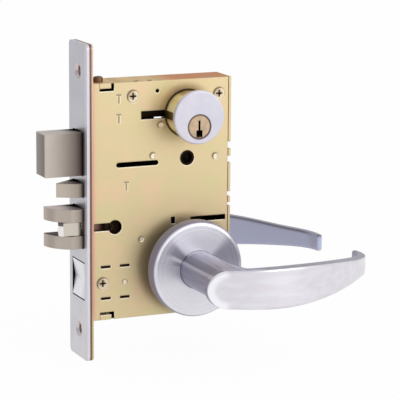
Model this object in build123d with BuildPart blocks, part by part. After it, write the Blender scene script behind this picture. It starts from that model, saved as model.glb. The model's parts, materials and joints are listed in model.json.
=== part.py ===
from build123d import *
import os
from math import atan2, cos, degrees, radians, sin

os.makedirs("parts", exist_ok=True)

# A mortise lock set, millimetres. +X runs into the door from the armored front's outer face,
# -Y is the outside of the door, where the key cylinder is, and +Z is up.

# --- Driving dimensions -------------------------------------------------------------------

# Front: an armored plate over an inner plate
FRONT_HEIGHT = 203.2
FRONT_WIDTH = 31.75
FRONT_CORNER_R = 3.0
ARMOR_THICK = 1.8
INNER_FRONT_THICK = 2.4
FRONT_SCREW_SPACING = 166.7
FRONT_SCREW_R = 2.75
FRONT_SINK_R = 5.1

# Case
CASE_HEIGHT = 152.4
CASE_DEPTH = 96.2
CASE_THICK = 23.8
SHEET = 1.6
BACK_ROOM = 30.55
BEND_R = 1.2
CYLINDER_RISE = 22.7

# How far each bolt and the lever stand from the case's middle, as shares of its height
DEADBOLT_SHARE = 0.20702
GUARD_SHARE = 0.05512
LATCH_SHARE = 0.10696
LEVER_SHARE = 0.28871
ROCKER_SHARE = 0.33038

# The case's edges, the backset and those heights
CASE_FRONT_X = ARMOR_THICK + INNER_FRONT_THICK
CASE_BACK_X = CASE_FRONT_X + CASE_DEPTH
CASE_TOP_Z = CASE_HEIGHT / 2
BACKSET = CASE_BACK_X - BACK_ROOM
DEADBOLT_Z = DEADBOLT_SHARE * CASE_HEIGHT
GUARD_Z = GUARD_SHARE * CASE_HEIGHT
LATCH_Z = -LATCH_SHARE * CASE_HEIGHT
LEVER_Z = -LEVER_SHARE * CASE_HEIGHT
ROCKER_Z = -ROCKER_SHARE * CASE_HEIGHT
CYLINDER_Z = DEADBOLT_Z + CYLINDER_RISE

# Keyed cylinder
CYLINDER_HEAD_R = 17.15
CYLINDER_HEAD_THICK = 3.2
CYLINDER_BODY_R = 14.7
CYLINDER_FACE_Y = -31.5
CYLINDER_BACK_Y = -3.1
CYLINDER_GROOVE_HEIGHT = 5.2
CYLINDER_GROOVE_DEPTH = 1.6
PLUG_Z = CYLINDER_Z - 5.9
PLUG_R = 6.6
PLUG_FLANGE_R = 7.5
PLUG_FLANGE_THICK = 1.2
PLUG_RECESS = 0.2
PIN_COUNT = 6
PIN_PITCH = 3.8
FIRST_PIN_Y = -26.6
PIN_R = 1.42
KEY_PIN_LENGTH = 4.5
DRIVER_LENGTH = 3.6
PIN_SPRING_LENGTH = 7.4
PIN_CHAMBER_TOP_Z = CYLINDER_Z + 12.35
CAM_THICK = 2.4
CAM_HUB_R = 6.4
CAM_REACH = 13.0
CAM_FINGER_WIDTH = 4.4

# Deadbolt and what throws it
DEADBOLT_THROW = 25.4
DEADBOLT_HEIGHT = 27.5
DEADBOLT_THICK = 15.8
DEADBOLT_INSIDE = 14.0
DEADBOLT_EDGE_R = 0.8
TAIL_THICK = 3.0
DEADBOLT_TAIL_Y = 1.2
TURN_Z = PLUG_Z - 23.05
DEADBOLT_TAIL_LOW_Z = TURN_Z + 5.7
DEADBOLT_TAIL_HIGH_Z = DEADBOLT_TAIL_LOW_Z + 14.0
TURN_HOLE_R = 4.9
TURN_BARREL_R = 5.0
THROW_ARM = 18.0
THROW_PIN_R = 2.0
THROW_SWING = 90.0
THROW_PLATE_THICK = 2.5
FORK_THICK = 2.1
FORK_REACH = 12.2
FORK_ROOT = 8.5
FORK_HORN_WIDTH = 3.0

# Latchbolt
LATCH_TIP = 20.3
LATCH_HEIGHT = 25.4
LATCH_THICK = 18.4
LATCH_FORK_GAP = 8.9
LATCH_HEAD_INSIDE = 4.0
LATCH_SHANK_BACK_X = 24.0
LATCH_SHANK_HEIGHT = 12.5
LATCH_TAIL_THICK = 2.8
LATCH_CATCH_THICK = 3.3
LATCH_CATCH_WIDTH = 11.0
TONGUE_PIN_X = -3.5
TONGUE_PIN_Y = -5.3
TONGUE_ROOT_R = 3.3
TONGUE_NOSE_X = -11.4
TONGUE_NOSE_Y = -3.9
TONGUE_NOSE_R = 3.7
TONGUE_PIN_R = 1.2

# Guard bolt, which deadlocks the latch
GUARD_REACH = 15.9
GUARD_HEIGHT = 8.8
GUARD_THICK = 18.0
GUARD_INSIDE = 13.0
GUARD_TRAVEL = 14.5
GUARD_TAIL_Y = 4.6
GUARD_TAIL_THICK = 2.5
DEADLOCK_PIVOT_X = BACKSET - 19.85
DEADLOCK_PIVOT_Z = GUARD_Z + 5.2
DEADLOCK_THICK = 2.5
DEADLOCK_PEG_X = DEADLOCK_PIVOT_X - 20.0
DEADLOCK_DROP = 2.8

# Rocker that sets the outside lever free or holds it
ROCKER_WINDOW_HEIGHT = 24.9
ROCKER_WIDTH = 21.2
ROCKER_HEIGHT = 23.2
ROCKER_HOLLOW = 1.9
ROCKER_END_THICK = 3.0
ROCKER_WEB = 1.4
ROCKER_PIN_X = 8.5
ROCKER_PIN_R = 1.5
ROCKER_TAIL_END_X = 24.0
STOP_PIVOT_X = BACKSET - 29.85
STOP_THICK = 3.0

# Hubs, spindles, roses and levers
HUB_BEARING_R = 9.75
HUB_FLANGE_R = 12.5
HUB_ARM = 26.5
HUB_ARM_WIDTH = 5.0
HUB_ARM_THICK = 3.5
SPINDLE_SIDE = 8.0
SPINDLE_LENGTH = 58.0
DOOR_THICK = 44.45
ROSE_R = 31.1
ROSE_THICK = 8.8
ROSE_WALL = 1.3
ROSE_RIM_R = 2.6
MOUNT_PLATE_THICK = 2.8
POST_SPREAD = 41.2
POST_R = 3.6
NECK_R = 12.25
BEARING_R = 9.5
BUSH_WALL = 1.4
BAND_EDGE_R = 1.6
BAND_OVERHANG = 5.0
SET_SCREW_R = 2.4

# Springs
LATCH_SPRING_R = 2.6
LATCH_SPRING_TURNS = 9
GUARD_SPRING_R = 1.9
GUARD_SPRING_TURNS = 11
WIRE_R = 0.45
LEVER_SPRING_R = 15.0
LEVER_SPRING_WIRE_R = 0.6
LEVER_SPRING_TURNS = 1.75

# Screws
SCREW_HEAD_R = 4.0
SCREW_SHANK_R = 1.7
SCREW_SINK = 1.4
SCREW_LENGTH = 9.0
SCREW_PROUD = 0.25
SCREW_CROSS_WIDTH = 0.9
SCREW_CROSS_REACH = 1.15
SCREW_CROSS_DEPTH = 1.3

# Fits
RUNNING = 0.05
LOOSE = 0.3
WINDOW_GAP = 0.4
AIR = 0.2

# --- Places worked out from them ------------------------------------------------------------

CASE_MID_X = (CASE_FRONT_X + CASE_BACK_X) / 2
CASE_HALF = CASE_THICK / 2
INSIDE_HALF = CASE_HALF - SHEET
DOOR_FACE_Y = -DOOR_THICK / 2
ROSE_FACE_Y = DOOR_FACE_Y - ROSE_THICK
PLATE_FACE_Y = DOOR_FACE_Y - MOUNT_PLATE_THICK
LATCH_HALF = LATCH_THICK / 2
POST_PLACES = (
    (BACKSET - POST_SPREAD / 2, LEVER_Z),
    (BACKSET + POST_SPREAD / 2, LEVER_Z),
)

NEAR = (0, -1, 0)
FAR = (0, 1, 0)
OUT = (-1, 0, 0)
UP = (0, 0, 1)
DOWN = (0, 0, -1)
FLUSH = (Align.CENTER, Align.CENTER, Align.MAX)
STANDING = (Align.CENTER, Align.CENTER, Align.MIN)


def at_y(y):
    """A sketch plane at the given Y: sketch X is X, sketch Y is Z, and it faces -Y."""
    return Plane.XZ.offset(-y)


def spot(x, y, z, facing):
    """A place whose own Z axis points the way that the thing there faces."""
    sideways = (0, 1, 0) if facing == OUT else (1, 0, 0)
    return Plane(origin=(x, y, z), x_dir=sideways, z_dir=facing)


def box_between(low, high, mode=Mode.ADD):
    """A block between two corners."""
    size = [b - a for a, b in zip(low, high)]
    middle = [(a + b) / 2 for a, b in zip(low, high)]
    with Locations(tuple(middle)):
        Box(*size, mode=mode)


def cross_recess(width, reach, depth):
    """The cross in a screw head, at the current place."""
    Box(reach, width, depth, align=FLUSH, mode=Mode.SUBTRACT)
    Box(width, reach, depth, align=FLUSH, mode=Mode.SUBTRACT)


def flat_screws(places, length):
    """Countersunk screws in the current builder, with heads a little proud of their places."""
    for place in places:
        with Locations(place):
            Cylinder(SCREW_SHANK_R, length, align=FLUSH)
            Cone(SCREW_SHANK_R, SCREW_HEAD_R, SCREW_SINK, align=FLUSH)
            Cylinder(SCREW_HEAD_R, SCREW_PROUD, align=STANDING)
        with Locations(place.offset(SCREW_PROUD)):
            cross_recess(SCREW_CROSS_WIDTH, SCREW_HEAD_R * SCREW_CROSS_REACH, SCREW_CROSS_DEPTH)


# --- Front ----------------------------------------------------------------------------------

DEADBOLT_WINDOW = (18.8, DEADBOLT_HEIGHT + 2 * WINDOW_GAP, DEADBOLT_Z)
GUARD_WINDOW = (GUARD_THICK + 4 * WINDOW_GAP, GUARD_HEIGHT + 2 * WINDOW_GAP, GUARD_Z)
LATCH_WINDOW = (LATCH_THICK + 3 * WINDOW_GAP, LATCH_HEIGHT + 2 * WINDOW_GAP, LATCH_Z)
ROCKER_WINDOW = (ROCKER_WIDTH + 2 * WINDOW_GAP, ROCKER_WINDOW_HEIGHT, ROCKER_Z)
WINDOWS = (DEADBOLT_WINDOW, GUARD_WINDOW, LATCH_WINDOW, ROCKER_WINDOW)
EAR_LENGTH = 13.8
EAR_WIDTH = 15.0
EAR_DROP = 0.1
BEVEL_SCREW_X = 12.0
BEVEL_SCREW_Y = -4.0
BEVEL_SCREW_R = 1.9
BEVEL_HEAD_R = 3.1
BEVEL_HEAD_THICK = 3.6
CLAMP_SCREW_Y = -7.0
CLAMP_ACCESS_R = 3.6


def front_outline():
    """The plate's face with its windows."""
    RectangleRounded(FRONT_WIDTH, FRONT_HEIGHT, FRONT_CORNER_R)
    for width, height, middle in WINDOWS:
        with Locations((0, middle)):
            Rectangle(width, height, mode=Mode.SUBTRACT)


with BuildPart() as armor_front:
    with BuildSketch(Plane.YZ):
        front_outline()
    extrude(amount=ARMOR_THICK)
    for side in (-1, 1):
        with Locations(spot(0, 0, side * FRONT_SCREW_SPACING / 2, OUT)):
            CounterSinkHole(FRONT_SCREW_R, FRONT_SINK_R, ARMOR_THICK)
armor_front.part.label = "armor_front"
export_step(armor_front.part, "parts/armor_front.step")

with BuildPart() as inner_front:
    with BuildSketch(Plane.YZ.offset(ARMOR_THICK)):
        front_outline()
        for side in (-1, 1):
            with Locations((0, side * FRONT_SCREW_SPACING / 2)):
                Circle(FRONT_SCREW_R, mode=Mode.SUBTRACT)
        with Locations((CLAMP_SCREW_Y, CYLINDER_Z)):
            Circle(CLAMP_ACCESS_R, mode=Mode.SUBTRACT)
    extrude(amount=INNER_FRONT_THICK)
    for side in (-1, 1):
        ear_out = side * (CASE_TOP_Z - SHEET - EAR_DROP)
        ear_in = ear_out - side * SHEET
        box_between(
            (CASE_FRONT_X, -EAR_WIDTH / 2, min(ear_in, ear_out)),
            (CASE_FRONT_X + EAR_LENGTH, EAR_WIDTH / 2, max(ear_in, ear_out)),
        )
    with Locations(spot(BEVEL_SCREW_X, BEVEL_SCREW_Y, CASE_TOP_Z, UP)):
        Hole(BEVEL_SCREW_R, 3 * SHEET)
inner_front.part.label = "inner_front"
export_step(inner_front.part, "parts/inner_front.step")

BEVEL_SCREW_LENGTH = 8.0
with BuildPart() as bevel_screw:
    with Locations(spot(BEVEL_SCREW_X, BEVEL_SCREW_Y, CASE_TOP_Z, UP)):
        Cylinder(BEVEL_HEAD_R, BEVEL_HEAD_THICK, align=STANDING)
        Cylinder(BEVEL_SCREW_R, BEVEL_SCREW_LENGTH, align=FLUSH)
    fillet(bevel_screw.edges().group_by(Axis.Z)[-1], BEVEL_HEAD_THICK / 3)
    with Locations(spot(BEVEL_SCREW_X, BEVEL_SCREW_Y, CASE_TOP_Z + BEVEL_HEAD_THICK, UP)):
        cross_recess(SCREW_CROSS_WIDTH, BEVEL_HEAD_R * SCREW_CROSS_REACH, SCREW_CROSS_DEPTH)
bevel_screw.part.label = "bevel_screw"
export_step(bevel_screw.part, "parts/bevel_screw.step")

# --- Case -----------------------------------------------------------------------------------

COVER_SCREWS = (
    (32.5, CASE_TOP_Z - 9.1),
    (CASE_BACK_X - 8.5, CASE_TOP_Z - 10.4),
    (CASE_BACK_X - 8.5, 10.4 - CASE_TOP_Z),
)
STANDOFF_R = 3.3
BRACKET_SCREW = (11.9, ROCKER_Z - 1.85)
BRACKET_SCREW_LENGTH = 6.2
SLOT_PAIRS_X = (14.0, 27.05)
SLOT_PAIRS_Z = (ROCKER_Z + 8.75, ROCKER_Z - 11.85)
TAB_SLOT = (6.6, 1.7)
SCREW_SINK_ANGLE = 2 * degrees(atan2(SCREW_HEAD_R - SCREW_SHANK_R, SCREW_SINK))
RIVET_PLACES = (
    (BACKSET - 18.65, CYLINDER_Z - 6.55),
    (BACKSET - 23.75, TURN_Z + 3.0),
    (BACKSET + 19.75, TURN_Z + 0.1),
    (BACKSET - 31.55, LATCH_Z - 9.2),
)
RIVET_R = 2.0
RIVET_HEAD_R = 2.3
RIVET_PROUD = 0.25
ADJUST_HOLE = (20.3, LATCH_Z + 0.1)
ADJUST_HOLE_R = 4.6
ADJUST_SLOT = (6.0, 18.0, LATCH_Z - 1.8, LATCH_Z + 3.2)
CLAMP_SLOT = (BACKSET - 31.75, BACKSET - 11.85, CYLINDER_Z - 2.35, CYLINDER_Z + 2.95)
SIGHT_SLOT_X = (21.2, BACKSET - 19.85)
SIGHT_SLOT_Z = TURN_Z - 1.7
SIGHT_SLOT_HEIGHT = 3.2
RETRACTOR_SLOT = (BACKSET + 2.6, BACKSET + 27.15, LATCH_Z - 0.6, LATCH_Z + 2.8)
SMALL_SLOT = (BACKSET - 10.95, BACKSET - 8.15, LATCH_Z - 0.7, LATCH_Z + 3.7)
DOWEL_HOLE = (BACKSET - 20.65, CASE_TOP_Z - 6.5)
DOWEL_HOLE_R = 1.25
TOP_NOTCH_REACH = 5.0
BACK_NOTCH_REACH = 4.5
COVER_GAP = 0.45
COVER_BACK_X = CASE_BACK_X - SHEET - COVER_GAP
HAND_MARKS = ((23.0, CASE_TOP_Z - 10.6), (23.0, CASE_TOP_Z - 23.1), (28.1, GUARD_Z + 1.1))
HAND_MARK_HEIGHT = 5.4
HAND_MARK_HEAD = 3.2
HAND_MARK_LINE = 0.8
HAND_MARK_DEPTH = 0.3
DEADLOCK_PIN_R = 2.0
SPRING_POST_R = 2.0
GUARD_POST = (BACKSET - 21.85, GUARD_Z - 2.8)
CASE_NOTCH_X = (10.0, 19.7)
CASE_NOTCH_HEIGHT = 5.0
CASE_TAB_HEIGHT = 3.3
CASE_TAB_GAP = 1.9
BACK_NOTCHES_Z = (
    (TURN_Z + 4.0, TURN_Z + 8.6),
    (TURN_Z - 5.1, TURN_Z - 0.7),
    (LATCH_Z + 14.2, LATCH_Z + 17.55),
    (LATCH_Z + 8.0, LATCH_Z + 10.4),
)
TOP_NOTCHES_X = ((33.4, 37.6), (43.2, 46.7))


def lock_hole_shapes():
    """The holes that both sides of the case have."""
    with Locations((BACKSET, CYLINDER_Z)):
        Circle(CYLINDER_BODY_R + AIR)
    with Locations((BACKSET, TURN_Z)):
        Circle(TURN_HOLE_R)
    with Locations((BACKSET, LEVER_Z)):
        Circle(HUB_BEARING_R + RUNNING)
    with Locations(*POST_PLACES):
        Circle(POST_R + LOOSE)
    with Locations(*RIVET_PLACES):
        Circle(RIVET_R)
    with Locations(*[(x, z) for x in SLOT_PAIRS_X for z in SLOT_PAIRS_Z]):
        Rectangle(*TAB_SLOT)


def cut_between(x0, x1, z0, z1):
    """A rectangle cut from the current sketch between two corners."""
    with Locations(((x0 + x1) / 2, (z0 + z1) / 2)):
        Rectangle(x1 - x0, z1 - z0, mode=Mode.SUBTRACT)


def cover_openings():
    """The slots, notches and small holes of the cover alone."""
    for low_x, high_x, low_z, high_z in (ADJUST_SLOT, CLAMP_SLOT, RETRACTOR_SLOT, SMALL_SLOT):
        cut_between(low_x, high_x, low_z, high_z)
    with Locations(ADJUST_HOLE):
        Circle(ADJUST_HOLE_R, mode=Mode.SUBTRACT)
    with Locations(DOWEL_HOLE):
        Circle(DOWEL_HOLE_R, mode=Mode.SUBTRACT)
    with Locations((sum(SIGHT_SLOT_X) / 2, SIGHT_SLOT_Z)):
        SlotOverall(SIGHT_SLOT_X[1] - SIGHT_SLOT_X[0], SIGHT_SLOT_HEIGHT, mode=Mode.SUBTRACT)
    for side in (-1, 1):
        edge = side * CASE_TOP_Z
        notch = edge - side * CASE_NOTCH_HEIGHT
        cut_between(*CASE_NOTCH_X, min(edge, notch), max(edge, notch))


with BuildPart() as case_body:
    with BuildSketch(at_y(CASE_HALF)):
        with Locations((CASE_MID_X, 0)):
            Rectangle(CASE_DEPTH, CASE_HEIGHT)
    extrude(amount=CASE_THICK - SHEET)
    fillet(case_body.faces().sort_by(Axis.Y)[-1].edges(), BEND_R)
    with BuildSketch(at_y(INSIDE_HALF)):
        with Locations((CASE_MID_X, 0)):
            Rectangle(CASE_DEPTH - 2 * SHEET, CASE_HEIGHT - 2 * SHEET)
    extrude(amount=2 * INSIDE_HALF, mode=Mode.SUBTRACT)
    with BuildSketch(at_y(CASE_HALF)):
        lock_hole_shapes()
        with Locations((DEADLOCK_PIVOT_X, DEADLOCK_PIVOT_Z)):
            Circle(DEADLOCK_PIN_R)
        with Locations(GUARD_POST):
            Circle(SPRING_POST_R)
    extrude(amount=SHEET, mode=Mode.SUBTRACT)
    with BuildSketch(Plane.YZ.offset(CASE_FRONT_X)):
        for width, height, middle in WINDOWS:
            with Locations((0, middle)):
                Rectangle(2 * INSIDE_HALF, height)
        for side in (-1, 1):
            with Locations((0, side * (CASE_TOP_Z - SHEET - EAR_DROP - SHEET / 2))):
                Rectangle(EAR_WIDTH + LOOSE, SHEET + 2 * EAR_DROP)
        with Locations((CLAMP_SCREW_Y, CYLINDER_Z)):
            Rectangle(2 * CLAMP_ACCESS_R, 2 * CLAMP_ACCESS_R)
    extrude(amount=SHEET, mode=Mode.SUBTRACT)
    with Locations(spot(BEVEL_SCREW_X, BEVEL_SCREW_Y, CASE_TOP_Z, UP)):
        Hole(BEVEL_SCREW_R + LOOSE, SHEET)
    for low, high in TOP_NOTCHES_X:
        box_between(
            (low, -INSIDE_HALF, CASE_TOP_Z - SHEET),
            (high, -INSIDE_HALF + TOP_NOTCH_REACH, CASE_TOP_Z),
            Mode.SUBTRACT,
        )
    box_between(
        (CASE_BACK_X - SHEET, -CASE_HALF, -CASE_TOP_Z),
        (CASE_BACK_X, -INSIDE_HALF, CASE_TOP_Z),
    )
    for low, high in BACK_NOTCHES_Z:
        box_between(
            (CASE_BACK_X - SHEET, -CASE_HALF, low),
            (CASE_BACK_X, -INSIDE_HALF + BACK_NOTCH_REACH, high),
            Mode.SUBTRACT,
        )
    for side in (-1, 1):
        edge = side * CASE_TOP_Z
        tab = edge - side * CASE_TAB_HEIGHT
        box_between(
            (CASE_NOTCH_X[0] + AIR, -CASE_HALF, min(edge, tab)),
            (CASE_NOTCH_X[1] - CASE_TAB_GAP, -INSIDE_HALF, max(edge, tab)),
        )
case_body.part.label = "case_body"
export_step(case_body.part, "parts/case_body.step")

with BuildPart() as case_cover:
    with BuildSketch(at_y(-INSIDE_HALF)):
        with Locations(((CASE_FRONT_X + COVER_BACK_X) / 2, 0)):
            Rectangle(COVER_BACK_X - CASE_FRONT_X, CASE_HEIGHT)
        cover_openings()
    extrude(amount=SHEET)
    with BuildSketch(at_y(-INSIDE_HALF)):
        lock_hole_shapes()
    extrude(amount=SHEET, mode=Mode.SUBTRACT)
    for x, z in (*COVER_SCREWS, BRACKET_SCREW):
        with Locations(spot(x, -CASE_HALF, z, NEAR)):
            CounterSinkHole(SCREW_SHANK_R + AIR, SCREW_HEAD_R + AIR, SHEET, SCREW_SINK_ANGLE)
    with BuildSketch(at_y(-CASE_HALF)):
        for x, z in HAND_MARKS:
            with Locations((x, z)):
                Rectangle(HAND_MARK_LINE, HAND_MARK_HEIGHT)
            with Locations((x, z + HAND_MARK_HEIGHT / 2)):
                Rectangle(HAND_MARK_HEAD, HAND_MARK_LINE)
    extrude(amount=-HAND_MARK_DEPTH, mode=Mode.SUBTRACT)
case_cover.part.label = "case_cover"
export_step(case_cover.part, "parts/case_cover.step")

with BuildPart() as case_standoffs:
    for x, z in COVER_SCREWS:
        with Locations(spot(x, INSIDE_HALF, z, NEAR)):
            Cylinder(STANDOFF_R, 2 * INSIDE_HALF, align=STANDING)
        with Locations(spot(x, -INSIDE_HALF, z, NEAR)):
            Hole(SCREW_SHANK_R, SCREW_LENGTH)
case_standoffs.part.label = "case_standoffs"
export_step(case_standoffs.part, "parts/case_standoffs.step")

with BuildPart() as cover_screws:
    flat_screws([spot(x, -CASE_HALF, z, NEAR) for x, z in COVER_SCREWS], SCREW_LENGTH)
cover_screws.part.label = "cover_screws"
export_step(cover_screws.part, "parts/cover_screws.step")

with BuildPart() as case_rivets:
    for x, z in RIVET_PLACES:
        with Locations(spot(x, CASE_HALF, z, NEAR)):
            Cylinder(RIVET_R, CASE_THICK, align=STANDING)
        for side, facing in ((-1, NEAR), (1, FAR)):
            with Locations(spot(x, side * CASE_HALF, z, facing)):
                Cylinder(RIVET_HEAD_R, RIVET_PROUD, align=STANDING)
case_rivets.part.label = "case_rivets"
export_step(case_rivets.part, "parts/case_rivets.step")

# --- Key cylinder, its clamp and its cam -----------------------------------------------------

CHAMBER_R = PIN_R + 2 * RUNNING
PIN_YS = [FIRST_PIN_Y + n * PIN_PITCH for n in range(PIN_COUNT)]
KEY_PIN_TOP_Z = PLUG_Z + PLUG_R - LOOSE
DRIVER_LOW_Z = PLUG_Z + PLUG_R + RUNNING + AIR / 2
KEYWAY_TOP = 4.0
KEYWAY_LOW = -6.9
KEYWAY_WIDTH = 1.4
KEYWAY_WARD_TOP = -2.2
KEYWAY_WARD_WIDTH = 4.2
KEYWAY_DEPTH = 25.0
CAM_SCREW_SPREAD = 7.6
CAM_SCREW_R = 0.9
CAM_SCREW_HEAD_R = 1.6
CAM_SCREW_HEAD_THICK = 1.2
CAM_SCREW_LENGTH = 7.0
CAM_FRONT_Y = CYLINDER_BACK_Y + AIR
PLUG_FRONT_Y = CYLINDER_FACE_Y + PLUG_RECESS
HEAD_RIM_R = 0.9

with BuildPart() as cylinder_shell:
    with Locations(spot(BACKSET, CYLINDER_FACE_Y, CYLINDER_Z, NEAR)):
        Cylinder(CYLINDER_BODY_R, CYLINDER_BACK_Y - CYLINDER_FACE_Y, align=FLUSH)
        Cylinder(CYLINDER_HEAD_R, CYLINDER_HEAD_THICK, align=FLUSH)
    fillet(cylinder_shell.faces().sort_by(Axis.Y)[0].edges(), HEAD_RIM_R)
    for side in (-1, 1):
        groove_x = BACKSET + side * CYLINDER_BODY_R
        box_between(
            (
                groove_x - CYLINDER_GROOVE_DEPTH,
                CYLINDER_FACE_Y + CYLINDER_HEAD_THICK,
                CYLINDER_Z - CYLINDER_GROOVE_HEIGHT / 2,
            ),
            (
                groove_x + CYLINDER_GROOVE_DEPTH,
                CYLINDER_BACK_Y,
                CYLINDER_Z + CYLINDER_GROOVE_HEIGHT / 2,
            ),
            Mode.SUBTRACT,
        )
    with Locations(spot(BACKSET, CYLINDER_FACE_Y, PLUG_Z, NEAR)):
        Cylinder(
            PLUG_R + RUNNING,
            CYLINDER_BACK_Y - CYLINDER_FACE_Y,
            align=FLUSH,
            mode=Mode.SUBTRACT,
        )
        Cylinder(
            PLUG_FLANGE_R + AIR,
            PLUG_RECESS + PLUG_FLANGE_THICK + RUNNING,
            align=FLUSH,
            mode=Mode.SUBTRACT,
        )
    for y in PIN_YS:
        with Locations(spot(BACKSET, y, PLUG_Z, UP)):
            Cylinder(
                CHAMBER_R, PIN_CHAMBER_TOP_Z - PLUG_Z, align=STANDING, mode=Mode.SUBTRACT
            )
cylinder_shell.part.label = "cylinder_shell"
export_step(cylinder_shell.part, "parts/cylinder_shell.step")

with BuildPart() as cylinder_plug:
    with Locations(spot(BACKSET, PLUG_FRONT_Y, PLUG_Z, NEAR)):
        Cylinder(PLUG_R, CAM_FRONT_Y - PLUG_FRONT_Y, align=FLUSH)
        Cylinder(PLUG_FLANGE_R, PLUG_FLANGE_THICK, align=FLUSH)
    box_between(
        (BACKSET - KEYWAY_WIDTH / 2, PLUG_FRONT_Y, PLUG_Z + KEYWAY_LOW),
        (BACKSET + KEYWAY_WIDTH / 2, PLUG_FRONT_Y + KEYWAY_DEPTH, PLUG_Z + KEYWAY_TOP),
        Mode.SUBTRACT,
    )
    box_between(
        (BACKSET - KEYWAY_WARD_WIDTH / 2, PLUG_FRONT_Y, PLUG_Z + KEYWAY_LOW),
        (
            BACKSET + KEYWAY_WARD_WIDTH / 2,
            PLUG_FRONT_Y + KEYWAY_DEPTH,
            PLUG_Z + KEYWAY_WARD_TOP,
        ),
        Mode.SUBTRACT,
    )
    for y in PIN_YS:
        with Locations(spot(BACKSET, y, KEY_PIN_TOP_Z - KEY_PIN_LENGTH - AIR, UP)):
            Cylinder(CHAMBER_R, PLUG_R, align=STANDING, mode=Mode.SUBTRACT)
    for side in (-1, 1):
        with Locations(spot(BACKSET + side * CAM_SCREW_SPREAD / 2, CAM_FRONT_Y, PLUG_Z, FAR)):
            Hole(CAM_SCREW_R, CAM_SCREW_LENGTH)
cylinder_plug.part.label = "cylinder_plug"
export_step(cylinder_plug.part, "parts/cylinder_plug.step")

with BuildPart() as key_pins:
    for y in PIN_YS:
        with Locations(spot(BACKSET, y, KEY_PIN_TOP_Z, UP)):
            Cylinder(PIN_R, KEY_PIN_LENGTH, align=FLUSH)
    tips = key_pins.edges().filter_by(GeomType.CIRCLE)
    chamfer(tips.filter_by(lambda e: e.center().Z < KEY_PIN_TOP_Z - KEY_PIN_LENGTH / 2), PIN_R / 2)
key_pins.part.label = "key_pins"
export_step(key_pins.part, "parts/key_pins.step")

with BuildPart() as driver_pins:
    for y in PIN_YS:
        with Locations(spot(BACKSET, y, DRIVER_LOW_Z, UP)):
            Cylinder(PIN_R, DRIVER_LENGTH, align=STANDING)
driver_pins.part.label = "driver_pins"
export_step(driver_pins.part, "parts/driver_pins.step")

with BuildPart() as pin_springs:
    for y in PIN_YS:
        with Locations(spot(BACKSET, y, DRIVER_LOW_Z + DRIVER_LENGTH, UP)):
            Cylinder(PIN_R, PIN_SPRING_LENGTH, align=STANDING)
            Cylinder(PIN_R / 2, PIN_SPRING_LENGTH, align=STANDING, mode=Mode.SUBTRACT)
pin_springs.part.label = "pin_springs"
export_step(pin_springs.part, "parts/pin_springs.step")

CLAMP_BLOCK_X = (30.0, 37.0)
CLAMP_BLOCK_Y = (-10.0, -4.0)
CLAMP_HEIGHT = 4.2
CLAMP_BLADE_THICK = 2.4
CLAMP_SCREW_R = 1.9
CLAMP_HEAD_R = 3.2
CLAMP_HEAD_THICK = 2.2
CLAMP_NOSE_X = BACKSET - CYLINDER_BODY_R + CYLINDER_GROOVE_DEPTH - AIR


def pointer(x, z, angle, reach, width):
    """A bar with a round end that points away from a pivot, in a sketch seen along Y."""
    with Locations((x, z)):
        Rectangle(reach - width / 2, width, rotation=angle, align=(Align.MIN, Align.CENTER))
    tip = reach - width / 2
    with Locations((x + tip * cos(radians(angle)), z + tip * sin(radians(angle)))):
        Circle(width / 2)


CAM_ANGLE = -90.0 - THROW_SWING / 2
THROW_ANGLE = 90.0 + THROW_SWING / 2

with BuildPart() as cylinder_cam:
    with BuildSketch(at_y(CAM_FRONT_Y + CAM_THICK)):
        with Locations((BACKSET, PLUG_Z)):
            Circle(CAM_HUB_R)
        pointer(BACKSET, PLUG_Z, CAM_ANGLE, CAM_REACH, CAM_FINGER_WIDTH)
        for side in (-1, 1):
            with Locations((BACKSET + side * CAM_SCREW_SPREAD / 2, PLUG_Z)):
                Circle(CAM_SCREW_R, mode=Mode.SUBTRACT)
    extrude(amount=CAM_THICK)
cylinder_cam.part.label = "cylinder_cam"
export_step(cylinder_cam.part, "parts/cylinder_cam.step")

with BuildPart() as cam_screws:
    for side in (-1, 1):
        place = (BACKSET + side * CAM_SCREW_SPREAD / 2, CAM_FRONT_Y + CAM_THICK, PLUG_Z)
        with Locations(spot(*place, FAR)):
            Cylinder(CAM_SCREW_HEAD_R, CAM_SCREW_HEAD_THICK, align=STANDING)
            Cylinder(CAM_SCREW_R, CAM_SCREW_LENGTH, align=FLUSH)
cam_screws.part.label = "cam_screws"
export_step(cam_screws.part, "parts/cam_screws.step")

with BuildPart() as cylinder_clamp:
    box_between(
        (CLAMP_BLOCK_X[0], CLAMP_BLOCK_Y[0], CYLINDER_Z - CLAMP_HEIGHT / 2),
        (CLAMP_BLOCK_X[1], CLAMP_BLOCK_Y[1], CYLINDER_Z + CLAMP_HEIGHT / 2),
    )
    box_between(
        (CLAMP_BLOCK_X[1], CLAMP_BLOCK_Y[1] - CLAMP_BLADE_THICK, CYLINDER_Z - CLAMP_HEIGHT / 2),
        (CLAMP_NOSE_X, CLAMP_BLOCK_Y[1], CYLINDER_Z + CLAMP_HEIGHT / 2),
    )
    with Locations(spot(CLAMP_BLOCK_X[0], CLAMP_SCREW_Y, CYLINDER_Z, OUT)):
        Hole(CLAMP_SCREW_R, CLAMP_BLOCK_X[1] - CLAMP_BLOCK_X[0])
cylinder_clamp.part.label = "cylinder_clamp"
export_step(cylinder_clamp.part, "parts/cylinder_clamp.step")

with BuildPart() as clamp_screw:
    with Locations(spot(ARMOR_THICK + RUNNING, CLAMP_SCREW_Y, CYLINDER_Z, OUT)):
        Cylinder(CLAMP_SCREW_R, CLAMP_BLOCK_X[1] - ARMOR_THICK - RUNNING, align=FLUSH)
        Cylinder(CLAMP_HEAD_R, CLAMP_HEAD_THICK, align=FLUSH)
        cross_recess(SCREW_CROSS_WIDTH, CLAMP_HEAD_R * SCREW_CROSS_REACH, SCREW_CROSS_DEPTH)
clamp_screw.part.label = "clamp_screw"
export_step(clamp_screw.part, "parts/clamp_screw.step")

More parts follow.
